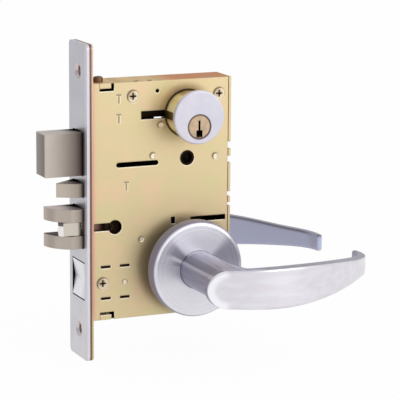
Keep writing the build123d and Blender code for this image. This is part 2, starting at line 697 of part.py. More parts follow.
# --- Deadbolt and its throw ------------------------------------------------------------------

DEADBOLT_LOW_Z = DEADBOLT_Z - DEADBOLT_HEIGHT / 2
DEADBOLT_HIGH_Z = DEADBOLT_Z + DEADBOLT_HEIGHT / 2
DEADBOLT_SOCKET = 11.0
DEADBOLT_RIVETS_Z = (DEADBOLT_TAIL_LOW_Z + 3.0, DEADBOLT_TAIL_LOW_Z + 10.0)
DEADBOLT_RIVET_R = 1.8
THROW_PIN_SLOT = 2.8
THROW_PIN_X = BACKSET - THROW_ARM * sin(radians(THROW_SWING / 2))
THROW_PIN_LOW_Z = TURN_Z + THROW_ARM * cos(radians(THROW_SWING / 2))
TAIL_PRONG = 4.6
THROW_PLATE_Y = DEADBOLT_TAIL_Y + TAIL_THICK + 2 * AIR
FORK_Y = CYLINDER_BACK_Y + 2 * AIR
FORK_PLAY = 1.4
FORK_GAP = CAM_FINGER_WIDTH + FORK_PLAY
TURN_NOSE = 0.8
TURN_NOSE_R = TURN_HOLE_R - 2 * RUNNING
TURN_BORE_R = 3.8
TURN_BORE_DEPTH = 4.0
TURN_BLADE = (2.2, 7.0)

with BuildPart() as deadbolt:
    box_between(
        (-DEADBOLT_THROW, -DEADBOLT_THICK / 2, DEADBOLT_LOW_Z),
        (DEADBOLT_INSIDE, DEADBOLT_THICK / 2, DEADBOLT_HIGH_Z),
    )
    fillet(deadbolt.faces().sort_by(Axis.X)[0].edges(), DEADBOLT_EDGE_R)
    box_between(
        (DEADBOLT_INSIDE - DEADBOLT_SOCKET, DEADBOLT_TAIL_Y, DEADBOLT_TAIL_LOW_Z),
        (DEADBOLT_INSIDE, DEADBOLT_TAIL_Y + TAIL_THICK, DEADBOLT_TAIL_HIGH_Z),
        Mode.SUBTRACT,
    )
    for z in DEADBOLT_RIVETS_Z:
        rivet_x = DEADBOLT_INSIDE - DEADBOLT_SOCKET / 2
        with Locations(spot(rivet_x, -DEADBOLT_THICK / 2, z, NEAR)):
            Hole(DEADBOLT_RIVET_R, DEADBOLT_THICK)
deadbolt.part.label = "deadbolt"
export_step(deadbolt.part, "parts/deadbolt.step")

with BuildPart() as deadbolt_tail:
    box_between(
        (DEADBOLT_INSIDE - DEADBOLT_SOCKET, DEADBOLT_TAIL_Y, DEADBOLT_TAIL_LOW_Z),
        (
            THROW_PIN_X + THROW_PIN_SLOT + TAIL_PRONG,
            DEADBOLT_TAIL_Y + TAIL_THICK,
            DEADBOLT_TAIL_HIGH_Z,
        ),
    )
    box_between(
        (
            THROW_PIN_X - THROW_PIN_SLOT,
            DEADBOLT_TAIL_Y,
            THROW_PIN_LOW_Z - THROW_PIN_R - 2 * AIR,
        ),
        (
            THROW_PIN_X + THROW_PIN_SLOT,
            DEADBOLT_TAIL_Y + TAIL_THICK,
            DEADBOLT_TAIL_HIGH_Z,
        ),
        Mode.SUBTRACT,
    )
    for z in DEADBOLT_RIVETS_Z:
        rivet_x = DEADBOLT_INSIDE - DEADBOLT_SOCKET / 2
        with Locations(spot(rivet_x, DEADBOLT_TAIL_Y, z, NEAR)):
            Hole(DEADBOLT_RIVET_R, TAIL_THICK)
deadbolt_tail.part.label = "deadbolt_tail"
export_step(deadbolt_tail.part, "parts/deadbolt_tail.step")

with BuildPart() as deadbolt_rivets:
    for z in DEADBOLT_RIVETS_Z:
        rivet_x = DEADBOLT_INSIDE - DEADBOLT_SOCKET / 2
        with Locations(spot(rivet_x, DEADBOLT_THICK / 2, z, NEAR)):
            Cylinder(DEADBOLT_RIVET_R, DEADBOLT_THICK, align=STANDING)
deadbolt_rivets.part.label = "deadbolt_rivets"
export_step(deadbolt_rivets.part, "parts/deadbolt_rivets.step")

with BuildPart() as turn_hub:
    barrel_half = INSIDE_HALF - AIR
    with Locations(spot(BACKSET, barrel_half, TURN_Z, NEAR)):
        Cylinder(TURN_BARREL_R, 2 * barrel_half, align=STANDING)
    with Locations(spot(BACKSET, INSIDE_HALF + TURN_NOSE, TURN_Z, NEAR)):
        Cylinder(TURN_NOSE_R, 2 * (INSIDE_HALF + TURN_NOSE), align=STANDING)
    with BuildSketch(at_y(INSIDE_HALF + TURN_NOSE)):
        with Locations((BACKSET, TURN_Z)):
            Rectangle(*TURN_BLADE)
    extrude(amount=2 * (INSIDE_HALF + TURN_NOSE), mode=Mode.SUBTRACT)
    with Locations(spot(BACKSET, -INSIDE_HALF - TURN_NOSE, TURN_Z, NEAR)):
        Hole(TURN_BORE_R, TURN_BORE_DEPTH)
turn_hub.part.label = "turn_hub"
export_step(turn_hub.part, "parts/turn_hub.step")

with BuildPart() as throw_lever:
    with BuildSketch(at_y(THROW_PLATE_Y + THROW_PLATE_THICK)):
        with Locations((BACKSET, TURN_Z)):
            Circle(TURN_BARREL_R + THROW_PLATE_THICK)
        pointer(BACKSET, TURN_Z, THROW_ANGLE, THROW_ARM + 2 * THROW_PIN_R, 4 * THROW_PIN_R)
        with Locations((BACKSET, TURN_Z)):
            Circle(TURN_BARREL_R, mode=Mode.SUBTRACT)
    extrude(amount=THROW_PLATE_THICK)
    pin_length = THROW_PLATE_Y - DEADBOLT_TAIL_Y + AIR
    with Locations(spot(THROW_PIN_X, THROW_PLATE_Y, THROW_PIN_LOW_Z, NEAR)):
        Cylinder(THROW_PIN_R, pin_length, align=STANDING)
throw_lever.part.label = "throw_lever"
export_step(throw_lever.part, "parts/throw_lever.step")

with BuildPart() as throw_fork:
    with BuildSketch(at_y(FORK_Y + FORK_THICK)):
        with Locations((BACKSET, TURN_Z)):
            Circle(FORK_ROOT)
            Rectangle(
                FORK_REACH,
                FORK_GAP + 2 * FORK_HORN_WIDTH,
                rotation=THROW_ANGLE,
                align=(Align.MIN, Align.CENTER),
            )
            Circle(FORK_REACH, mode=Mode.INTERSECT)
        root_x = BACKSET + FORK_ROOT * cos(radians(THROW_ANGLE))
        root_z = TURN_Z + FORK_ROOT * sin(radians(THROW_ANGLE))
        with Locations((root_x, root_z)):
            Rectangle(
                FORK_REACH,
                FORK_GAP,
                rotation=THROW_ANGLE,
                align=(Align.MIN, Align.CENTER),
                mode=Mode.SUBTRACT,
            )
        with Locations((BACKSET, TURN_Z)):
            Circle(TURN_BARREL_R, mode=Mode.SUBTRACT)
    extrude(amount=FORK_THICK)
throw_fork.part.label = "throw_fork"
export_step(throw_fork.part, "parts/throw_fork.step")

# --- Latchbolt, its tongue and its tail ------------------------------------------------------

LATCH_LOW_Z = LATCH_Z - LATCH_HEIGHT / 2
LATCH_HIGH_Z = LATCH_Z + LATCH_HEIGHT / 2
LATCH_FORK_ROOT_X = TONGUE_PIN_X + TONGUE_ROOT_R + 2 * AIR
LATCH_TIP_FLAT = 1.3
LATCH_BEVEL_MIDDLE = (-16.9, -2.0)
LATCH_BEVEL_END_X = -8.2
LATCH_EDGE_R = 0.5
LATCH_SHANK_HIGH_Z = LATCH_Z + 7.3
LATCH_SHANK_LOW_Z = LATCH_SHANK_HIGH_Z - LATCH_SHANK_HEIGHT
LATCH_SLOT_X = 9.5
LATCH_TAIL_FRONT_Z = (LATCH_Z - 4.2, LATCH_Z + 6.3)
LATCH_TAIL_BAR_Z = (LATCH_Z + 2.9, LATCH_Z + 10.3)
LATCH_TAIL_BAR_X = LATCH_SHANK_BACK_X + 2 * AIR
LATCH_CATCH_GAP = 0.85
LATCH_CATCH_X = BACKSET + HUB_ARM_WIDTH / 2 + LATCH_CATCH_GAP
LATCH_CATCH_LOW_Z = LATCH_Z - 11.7
LATCH_SCREW_X = 17.4
LATCH_SCREW_Z = LATCH_Z + 0.1
LATCH_SCREW_R = 1.6
LATCH_SCREW_HEAD_R = 3.2
LATCH_SCREW_HEAD_THICK = 2.2
LATCH_SCREW_LENGTH = 15.0

with BuildPart() as latchbolt:
    with BuildSketch(Plane.XY.offset(LATCH_LOW_Z)):
        with BuildLine():
            tip = (-LATCH_TIP, LATCH_HALF - LATCH_TIP_FLAT)
            heel = (LATCH_BEVEL_END_X, -LATCH_HALF)
            ThreePointArc(tip, LATCH_BEVEL_MIDDLE, heel)
            Polyline(
                heel,
                (LATCH_HEAD_INSIDE, -LATCH_HALF),
                (LATCH_HEAD_INSIDE, LATCH_HALF),
                (-LATCH_TIP, LATCH_HALF),
                tip,
            )
        make_face()
    extrude(amount=LATCH_HEIGHT)
    fillet(latchbolt.edges().filter_by(Axis.Z).sort_by(Axis.X)[0:2], LATCH_EDGE_R)
    box_between(
        (-LATCH_TIP, -LATCH_HALF, LATCH_Z - LATCH_FORK_GAP / 2),
        (LATCH_FORK_ROOT_X, LATCH_HALF, LATCH_Z + LATCH_FORK_GAP / 2),
        Mode.SUBTRACT,
    )
    box_between(
        (LATCH_HEAD_INSIDE, -LATCH_HALF, LATCH_SHANK_LOW_Z),
        (LATCH_SHANK_BACK_X, LATCH_HALF, LATCH_SHANK_HIGH_Z),
    )
    box_between(
        (LATCH_SLOT_X, -LATCH_TAIL_THICK / 2, LATCH_SHANK_LOW_Z),
        (LATCH_SHANK_BACK_X, LATCH_TAIL_THICK / 2, LATCH_SHANK_HIGH_Z),
        Mode.SUBTRACT,
    )
    with Locations(spot(TONGUE_PIN_X, TONGUE_PIN_Y, LATCH_HIGH_Z, UP)):
        Hole(TONGUE_PIN_R, LATCH_HEIGHT)
    with Locations(spot(LATCH_SCREW_X, -LATCH_HALF, LATCH_SCREW_Z, NEAR)):
        CounterBoreHole(
            LATCH_SCREW_R, LATCH_SCREW_HEAD_R + AIR, LATCH_SCREW_HEAD_THICK, LATCH_SCREW_LENGTH
        )
latchbolt.part.label = "latchbolt"
export_step(latchbolt.part, "parts/latchbolt.step")

with BuildPart() as latch_tongue:
    with BuildSketch(Plane.XY.offset(LATCH_Z - LATCH_FORK_GAP / 2 + AIR)):
        with Locations((TONGUE_PIN_X, TONGUE_PIN_Y)):
            Circle(TONGUE_ROOT_R)
        with Locations((TONGUE_NOSE_X, TONGUE_NOSE_Y)):
            Circle(TONGUE_NOSE_R)
        make_hull()
        with Locations((TONGUE_PIN_X, TONGUE_PIN_Y)):
            Circle(TONGUE_PIN_R + RUNNING, mode=Mode.SUBTRACT)
    extrude(amount=LATCH_FORK_GAP - 2 * AIR)
latch_tongue.part.label = "latch_tongue"
export_step(latch_tongue.part, "parts/latch_tongue.step")

with BuildPart() as tongue_pin:
    with Locations(spot(TONGUE_PIN_X, TONGUE_PIN_Y, LATCH_LOW_Z, UP)):
        Cylinder(TONGUE_PIN_R, LATCH_HEIGHT, align=STANDING)
tongue_pin.part.label = "tongue_pin"
export_step(tongue_pin.part, "parts/tongue_pin.step")

with BuildPart() as latch_tail:
    half = LATCH_TAIL_THICK / 2
    box_between(
        (LATCH_SLOT_X + AIR, -half, LATCH_TAIL_FRONT_Z[0]),
        (LATCH_TAIL_BAR_X, half, LATCH_TAIL_FRONT_Z[1]),
    )
    box_between(
        (LATCH_TAIL_BAR_X, -half, LATCH_TAIL_BAR_Z[0]),
        (LATCH_CATCH_X, half, LATCH_TAIL_BAR_Z[1]),
    )
    box_between(
        (LATCH_CATCH_X, -LATCH_CATCH_WIDTH / 2, LATCH_CATCH_LOW_Z),
        (LATCH_CATCH_X + LATCH_CATCH_THICK, LATCH_CATCH_WIDTH / 2, LATCH_TAIL_BAR_Z[1]),
    )
    with Locations(spot(LATCH_SCREW_X, -half, LATCH_SCREW_Z, NEAR)):
        Hole(LATCH_SCREW_R, LATCH_TAIL_THICK)
latch_tail.part.label = "latch_tail"
export_step(latch_tail.part, "parts/latch_tail.step")

with BuildPart() as latch_screw:
    with Locations(spot(LATCH_SCREW_X, -LATCH_HALF, LATCH_SCREW_Z, NEAR)):
        Cylinder(LATCH_SCREW_R, LATCH_SCREW_LENGTH, align=FLUSH)
        Cylinder(LATCH_SCREW_HEAD_R, LATCH_SCREW_HEAD_THICK, align=FLUSH)
        cross_recess(
            SCREW_CROSS_WIDTH, LATCH_SCREW_HEAD_R * SCREW_CROSS_REACH, SCREW_CROSS_DEPTH
        )
latch_screw.part.label = "latch_screw"
export_step(latch_screw.part, "parts/latch_screw.step")


def wind(start, length, turns, coil_r, wire_r, along):
    """A coil of wire in the current builder: one unbroken tube on a helix."""
    with BuildLine() as coil:
        Helix(length / turns, length, coil_r, center=start, direction=along)
    with BuildSketch(Plane(coil.line @ 0, z_dir=coil.line % 0)) as section:
        Circle(wire_r)
    sweep(section.sketch, path=coil.line, is_frenet=True)


SPRING_END = WIRE_R + AIR
LATCH_SPRING_Z = LATCH_Z - 9.1
LATCH_SPRING_END_X = RIVET_PLACES[3][0] - RIVET_R

with BuildPart() as latch_spring:
    wind(
        (LATCH_HEAD_INSIDE + SPRING_END, 0, LATCH_SPRING_Z),
        LATCH_SPRING_END_X - LATCH_HEAD_INSIDE - 2 * SPRING_END,
        LATCH_SPRING_TURNS,
        LATCH_SPRING_R,
        WIRE_R,
        (1, 0, 0),
    )
latch_spring.part.label = "latch_spring"
export_step(latch_spring.part, "parts/latch_spring.step")

# --- Guard bolt and deadlocking lever ----------------------------------------------------------

GUARD_LOW_Z = GUARD_Z - GUARD_HEIGHT / 2
GUARD_HALF = GUARD_THICK / 2
GUARD_TIP_Y = (-2.8, -1.2)
GUARD_TIP_STEP = 0.6
GUARD_NEAR_X = -3.9
GUARD_FAR_X = -0.8
GUARD_EDGE_R = 0.4
GUARD_SOCKET = 7.8
GUARD_TAIL_LOW_Z = GUARD_Z - 3.8
GUARD_TAIL_RISE_Z = GUARD_Z
GUARD_TAIL_HIGH_Z = GUARD_Z + 4.0
GUARD_TAIL_STEP_X = (DEADLOCK_PEG_X - 2.0, DEADLOCK_PEG_X + 0.5)
GUARD_TAIL_STOP_GAP = 0.9
GUARD_TAIL_BACK_X = DEADLOCK_PIVOT_X - DEADLOCK_PIN_R - GUARD_TRAVEL - GUARD_TAIL_STOP_GAP
GUARD_SPRING_Y = -3.0
GUARD_SPRING_Z = GUARD_Z - 1.8
GUARD_POST_NEAR_Y = -5.6
DEADLOCK_Y = 1.8
DEADLOCK_PEG_R = 1.2
DEADLOCK_ARM_HEIGHT = 4.0
DEADLOCK_RING_R = 4.0
DEADLOCK_NOSE_X = (DEADLOCK_PEG_X + 2.0, DEADLOCK_PEG_X + 6.0)
DEADLOCK_NOSE_Z = GUARD_Z - 13.0
RAMP_FOOT_X = DEADLOCK_PEG_X - GUARD_TRAVEL
RAMP_FOOT_Z = GUARD_TAIL_HIGH_Z - DEADLOCK_DROP
DEADLOCK_PEG_Z = GUARD_TAIL_HIGH_Z + DEADLOCK_PEG_R + AIR

with BuildPart() as guard_bolt:
    with BuildSketch(Plane.XY.offset(GUARD_LOW_Z)):
        with BuildLine():
            Polyline(
                (GUARD_INSIDE, -GUARD_HALF),
                (GUARD_INSIDE, GUARD_HALF),
                (GUARD_FAR_X, GUARD_HALF),
                (-GUARD_REACH + GUARD_TIP_STEP, GUARD_TIP_Y[1]),
                (-GUARD_REACH, GUARD_TIP_Y[0]),
                (GUARD_NEAR_X, -GUARD_HALF),
                close=True,
            )
        make_face()
    extrude(amount=GUARD_HEIGHT)
    fillet(guard_bolt.edges().filter_by(Axis.Z).sort_by(Axis.X)[0:2], GUARD_EDGE_R)
    box_between(
        (GUARD_INSIDE - GUARD_SOCKET, GUARD_TAIL_Y, GUARD_LOW_Z),
        (GUARD_INSIDE, GUARD_TAIL_Y + GUARD_TAIL_THICK, GUARD_LOW_Z + GUARD_HEIGHT),
        Mode.SUBTRACT,
    )
guard_bolt.part.label = "guard_bolt"
export_step(guard_bolt.part, "parts/guard_bolt.step")

with BuildPart() as guard_tail:
    with BuildSketch(at_y(GUARD_TAIL_Y + GUARD_TAIL_THICK)):
        with BuildLine():
            Polyline(
                (GUARD_INSIDE - GUARD_SOCKET, GUARD_TAIL_LOW_Z),
                (GUARD_TAIL_STEP_X[0], GUARD_TAIL_LOW_Z),
                (GUARD_TAIL_STEP_X[1], GUARD_TAIL_RISE_Z),
                (GUARD_TAIL_BACK_X, GUARD_TAIL_RISE_Z),
                (GUARD_TAIL_BACK_X, GUARD_TAIL_HIGH_Z),
                (DEADLOCK_PEG_X, GUARD_TAIL_HIGH_Z),
                (RAMP_FOOT_X, RAMP_FOOT_Z),
                (GUARD_INSIDE - GUARD_SOCKET, RAMP_FOOT_Z),
                close=True,
            )
        make_face()
    extrude(amount=GUARD_TAIL_THICK)
guard_tail.part.label = "guard_tail"
export_step(guard_tail.part, "parts/guard_tail.step")

with BuildPart() as guard_post:
    with Locations(spot(GUARD_POST[0], CASE_HALF, GUARD_POST[1], NEAR)):
        Cylinder(SPRING_POST_R, CASE_HALF - GUARD_POST_NEAR_Y, align=STANDING)
guard_post.part.label = "guard_post"
export_step(guard_post.part, "parts/guard_post.step")

with BuildPart() as guard_spring:
    wind(
        (GUARD_INSIDE + SPRING_END, GUARD_SPRING_Y, GUARD_SPRING_Z),
        GUARD_POST[0] - SPRING_POST_R - GUARD_INSIDE - 2 * SPRING_END,
        GUARD_SPRING_TURNS,
        GUARD_SPRING_R,
        WIRE_R,
        (1, 0, 0),
    )
guard_spring.part.label = "guard_spring"
export_step(guard_spring.part, "parts/guard_spring.step")

with BuildPart() as deadlock_lever:
    with BuildSketch(at_y(DEADLOCK_Y + DEADLOCK_THICK)):
        with Locations((DEADLOCK_PIVOT_X, DEADLOCK_PIVOT_Z)):
            Circle(DEADLOCK_RING_R)
        arm = DEADLOCK_PIVOT_X - DEADLOCK_PEG_X + DEADLOCK_ARM_HEIGHT / 2
        pointer(DEADLOCK_PIVOT_X, DEADLOCK_PIVOT_Z, 180.0, arm, DEADLOCK_ARM_HEIGHT)
        nose_x = sum(DEADLOCK_NOSE_X) / 2
        with Locations((nose_x, (DEADLOCK_NOSE_Z + DEADLOCK_PIVOT_Z) / 2)):
            Rectangle(
                DEADLOCK_NOSE_X[1] - DEADLOCK_NOSE_X[0], DEADLOCK_PIVOT_Z - DEADLOCK_NOSE_Z
            )
        with Locations((DEADLOCK_PIVOT_X, DEADLOCK_PIVOT_Z)):
            Circle(DEADLOCK_PIN_R + RUNNING, mode=Mode.SUBTRACT)
    extrude(amount=DEADLOCK_THICK)
    with Locations(spot(DEADLOCK_PEG_X, DEADLOCK_Y + DEADLOCK_THICK, DEADLOCK_PEG_Z, FAR)):
        Cylinder(DEADLOCK_PEG_R, GUARD_TAIL_THICK + 2 * AIR, align=STANDING)
deadlock_lever.part.label = "deadlock_lever"
export_step(deadlock_lever.part, "parts/deadlock_lever.step")

with BuildPart() as deadlock_pin:
    pin_near_y = DEADLOCK_Y - 4 * AIR
    with Locations(spot(DEADLOCK_PIVOT_X, CASE_HALF, DEADLOCK_PIVOT_Z, NEAR)):
        Cylinder(DEADLOCK_PIN_R, CASE_HALF - pin_near_y, align=STANDING)
deadlock_pin.part.label = "deadlock_pin"
export_step(deadlock_pin.part, "parts/deadlock_pin.step")

# --- Rocker and stop -----------------------------------------------------------------------------

BRACKET_FRONT_X = CASE_FRONT_X + SHEET + 2 * AIR
STOP_STUD_R = 2.0
BRACKET_BACK_X = STOP_PIVOT_X + 2 * STOP_STUD_R
BRACKET_LOW_Z = ROCKER_Z - 13.85
BRACKET_HIGH_Z = ROCKER_Z + 9.95
TAB_SHORT = 0.4
TAB_FLUSH = 0.2
BOSS_R = 3.0
BOSS_DEPTH = 3.0
ROCKER_LUG_R = 3.6
ROCKER_LUG_HALF = 4.0
ROCKER_TAIL_HALF = 2.2
ROCKER_TAIL_THICK = 3.0
ROCKER_PEG_R = 1.4
STOP_Y = -7.4
STOP_ARM_HALF = 3.2
STOP_RING_R = 4.2
STOP_STUD_HEAD_R = 3.2
STOP_STUD_HEAD_THICK = 0.8
STOP_LOW_Z = (ROCKER_Z - 6.85, ROCKER_Z - 2.05)
STOP_TIP_GAP = 0.35
STOP_TIP_X = BACKSET - HUB_FLANGE_R - STOP_TIP_GAP
STOP_TIP_WIDTH = 2.6
STOP_TIP_TOP_Z = ROCKER_Z + 2.85

with BuildPart() as stop_bracket:
    for side in (-1, 1):
        box_between(
            (BRACKET_FRONT_X, min(side * INSIDE_HALF, side * (INSIDE_HALF - SHEET)), BRACKET_LOW_Z),
            (BRACKET_BACK_X, max(side * INSIDE_HALF, side * (INSIDE_HALF - SHEET)), BRACKET_HIGH_Z),
        )
        tab_end = side * (CASE_HALF - TAB_FLUSH)
        for x in SLOT_PAIRS_X:
            for z in SLOT_PAIRS_Z:
                box_between(
                    (
                        x - (TAB_SLOT[0] - TAB_SHORT) / 2,
                        min(side * INSIDE_HALF, tab_end),
                        z - (TAB_SLOT[1] - TAB_SHORT) / 2,
                    ),
                    (
                        x + (TAB_SLOT[0] - TAB_SHORT) / 2,
                        max(side * INSIDE_HALF, tab_end),
                        z + (TAB_SLOT[1] - TAB_SHORT) / 2,
                    ),
                )
    box_between(
        (BRACKET_FRONT_X, -INSIDE_HALF, BRACKET_LOW_Z),
        (BRACKET_BACK_X, INSIDE_HALF, BRACKET_LOW_Z + SHEET),
    )
    with Locations(spot(BRACKET_SCREW[0], -INSIDE_HALF, BRACKET_SCREW[1], NEAR)):
        Cylinder(BOSS_R, SHEET + BOSS_DEPTH, align=FLUSH)
        Hole(SCREW_SHANK_R, SHEET + BOSS_DEPTH)
    with Locations(spot(ROCKER_PIN_X, -INSIDE_HALF, ROCKER_Z, NEAR)):
        Hole(ROCKER_PIN_R, 2 * INSIDE_HALF)
    with Locations(spot(STOP_PIVOT_X, -INSIDE_HALF, ROCKER_Z, NEAR)):
        Hole(STOP_STUD_R, SHEET)
stop_bracket.part.label = "stop_bracket"
export_step(stop_bracket.part, "parts/stop_bracket.step")

with BuildPart() as bracket_screw:
    flat_screws([spot(BRACKET_SCREW[0], -CASE_HALF, BRACKET_SCREW[1], NEAR)], BRACKET_SCREW_LENGTH)
bracket_screw.part.label = "bracket_screw"
export_step(bracket_screw.part, "parts/bracket_screw.step")

with BuildPart() as rocker_pin:
    with Locations(spot(ROCKER_PIN_X, INSIDE_HALF, ROCKER_Z, NEAR)):
        Cylinder(ROCKER_PIN_R, 2 * INSIDE_HALF, align=STANDING)
rocker_pin.part.label = "rocker_pin"
export_step(rocker_pin.part, "parts/rocker_pin.step")

with BuildPart() as rocker_button:
    with BuildSketch(at_y(ROCKER_WIDTH / 2)):
        with BuildLine():
            Polyline(
                (0, ROCKER_Z - ROCKER_HEIGHT / 2),
                (ROCKER_HOLLOW, ROCKER_Z),
                (0, ROCKER_Z + ROCKER_HEIGHT / 2),
                (ROCKER_END_THICK, ROCKER_Z + ROCKER_HEIGHT / 2),
                (ROCKER_HOLLOW + ROCKER_WEB, ROCKER_Z),
                (ROCKER_END_THICK, ROCKER_Z - ROCKER_HEIGHT / 2),
                close=True,
            )
        make_face()
    extrude(amount=ROCKER_WIDTH)
    with BuildSketch(at_y(ROCKER_LUG_HALF)):
        with Locations(((ROCKER_HOLLOW + ROCKER_PIN_X) / 2, ROCKER_Z)):
            Rectangle(ROCKER_PIN_X - ROCKER_HOLLOW, 2 * ROCKER_LUG_R)
        with Locations((ROCKER_PIN_X, ROCKER_Z)):
            Circle(ROCKER_LUG_R)
    extrude(amount=2 * ROCKER_LUG_HALF)
    with BuildSketch(at_y(-ROCKER_LUG_HALF + ROCKER_TAIL_THICK)):
        pointer(
            ROCKER_PIN_X,
            ROCKER_Z,
            0.0,
            ROCKER_TAIL_END_X - ROCKER_PIN_X + ROCKER_TAIL_HALF,
            2 * ROCKER_TAIL_HALF,
        )
    extrude(amount=ROCKER_TAIL_THICK)
    with Locations(spot(ROCKER_TAIL_END_X, -ROCKER_LUG_HALF, ROCKER_Z, NEAR)):
        Cylinder(ROCKER_PEG_R, -STOP_Y - ROCKER_LUG_HALF, align=STANDING)
    with Locations(spot(ROCKER_PIN_X, -ROCKER_LUG_HALF, ROCKER_Z, NEAR)):
        Hole(ROCKER_PIN_R + RUNNING, 2 * ROCKER_LUG_HALF)
rocker_button.part.label = "rocker_button"
export_step(rocker_button.part, "parts/rocker_button.step")

with BuildPart() as stop_lever:
    with BuildSketch(at_y(STOP_Y + STOP_THICK)):
        front_reach = STOP_PIVOT_X - ROCKER_TAIL_END_X + STOP_ARM_HALF + ROCKER_PEG_R
        pointer(STOP_PIVOT_X, ROCKER_Z, 180.0, front_reach, 2 * STOP_ARM_HALF)
        with Locations((STOP_PIVOT_X, ROCKER_Z)):
            Circle(STOP_RING_R)
        low, high = STOP_LOW_Z
        with Locations(((STOP_PIVOT_X + STOP_TIP_X) / 2, (low + high) / 2)):
            Rectangle(STOP_TIP_X - STOP_PIVOT_X, high - low)
        with Locations((STOP_TIP_X - STOP_TIP_WIDTH / 2, (low + STOP_TIP_TOP_Z) / 2)):
            Rectangle(STOP_TIP_WIDTH, STOP_TIP_TOP_Z - low)
        with Locations((STOP_PIVOT_X, ROCKER_Z)):
            Circle(STOP_STUD_R + RUNNING, mode=Mode.SUBTRACT)
        with Locations((ROCKER_TAIL_END_X, ROCKER_Z)):
            SlotCenterToCenter(
                2 * LOOSE, 2 * (ROCKER_PEG_R + LOOSE), mode=Mode.SUBTRACT
            )
    extrude(amount=STOP_THICK)
stop_lever.part.label = "stop_lever"
export_step(stop_lever.part, "parts/stop_lever.step")

with BuildPart() as stop_stud:
    stud_end = STOP_Y + STOP_THICK + AIR
    with Locations(spot(STOP_PIVOT_X, -INSIDE_HALF, ROCKER_Z, FAR)):
        Cylinder(STOP_STUD_R, INSIDE_HALF + stud_end, align=STANDING)
    with Locations(spot(STOP_PIVOT_X, stud_end, ROCKER_Z, FAR)):
        Cylinder(STOP_STUD_HEAD_R, STOP_STUD_HEAD_THICK, align=STANDING)
stop_stud.part.label = "stop_stud"
export_step(stop_stud.part, "parts/stop_stud.step")

# --- Lever sets: the outside one is made, and the inside one mirrors it ------------------------------

HUB_SPLIT = 0.4
HUB_ARM_Y = -2.0
NECK_FRONT_Y = PLATE_FACE_Y - 2.2
BEARING_END_Y = DOOR_FACE_Y + 2.7
SPINDLE_HOLE = SPINDLE_SIDE + 2 * RUNNING
BUSH_LENGTH = 5.4
MOUNT_SCREW_R = 2.0
MOUNT_SCREW_HEAD_R = 4.8
MOUNT_SCREW_HEAD_THICK = 1.8
MOUNT_SCREW_LENGTH = 20.0
POST_SHORT = 0.5
POST_END_Y = -PLATE_FACE_Y - POST_SHORT
SET_SCREW_Y = -38.0
BLEND_ROOT_Y = -62.0
BLEND_MIDDLE_Y = -74.0
BLEND_MIDDLE_HALF = 14.0
BLEND_END_Y = -88.2
BLEND_END_HALF = 19.5
BLEND_END_TILT = 10.0
BAND_STOCK_HALF = 20.0
BAND_STOCK_DEPTH = 90.0
BAND_OUTER = (
    (-20.0, -83.2),
    (0.0, -91.5),
    (26.0, -96.0),
    (53.0, -90.8),
    (86.0, -72.0),
    (104.0, -55.8),
    (113.9, -44.0),
    (117.0, -25.0),
)
BAND_INNER = (
    (-20.0, -76.0),
    (0.0, -83.9),
    (26.0, -88.4),
    (50.5, -83.7),
    (81.2, -66.3),
    (98.0, -51.4),
    (107.6, -41.2),
    (113.0, -25.0),
)
BAND_TOP = ((26.0, 12.6), (53.0, 11.3), (86.0, 6.8), (104.0, 3.4), (120.0, 1.0))
BAND_LOW = ((26.0, -13.3), (53.0, -12.6), (86.0, -10.5), (104.0, -9.7), (120.0, -9.5))


def from_axis(points):
    """Points given from the lever's axis, moved to where that axis stands."""
    return [(BACKSET + x, other) for x, other in points]


def raised(points):
    """Points given from the lever's axis in elevation."""
    return [(BACKSET + x, LEVER_Z + z) for x, z in points]


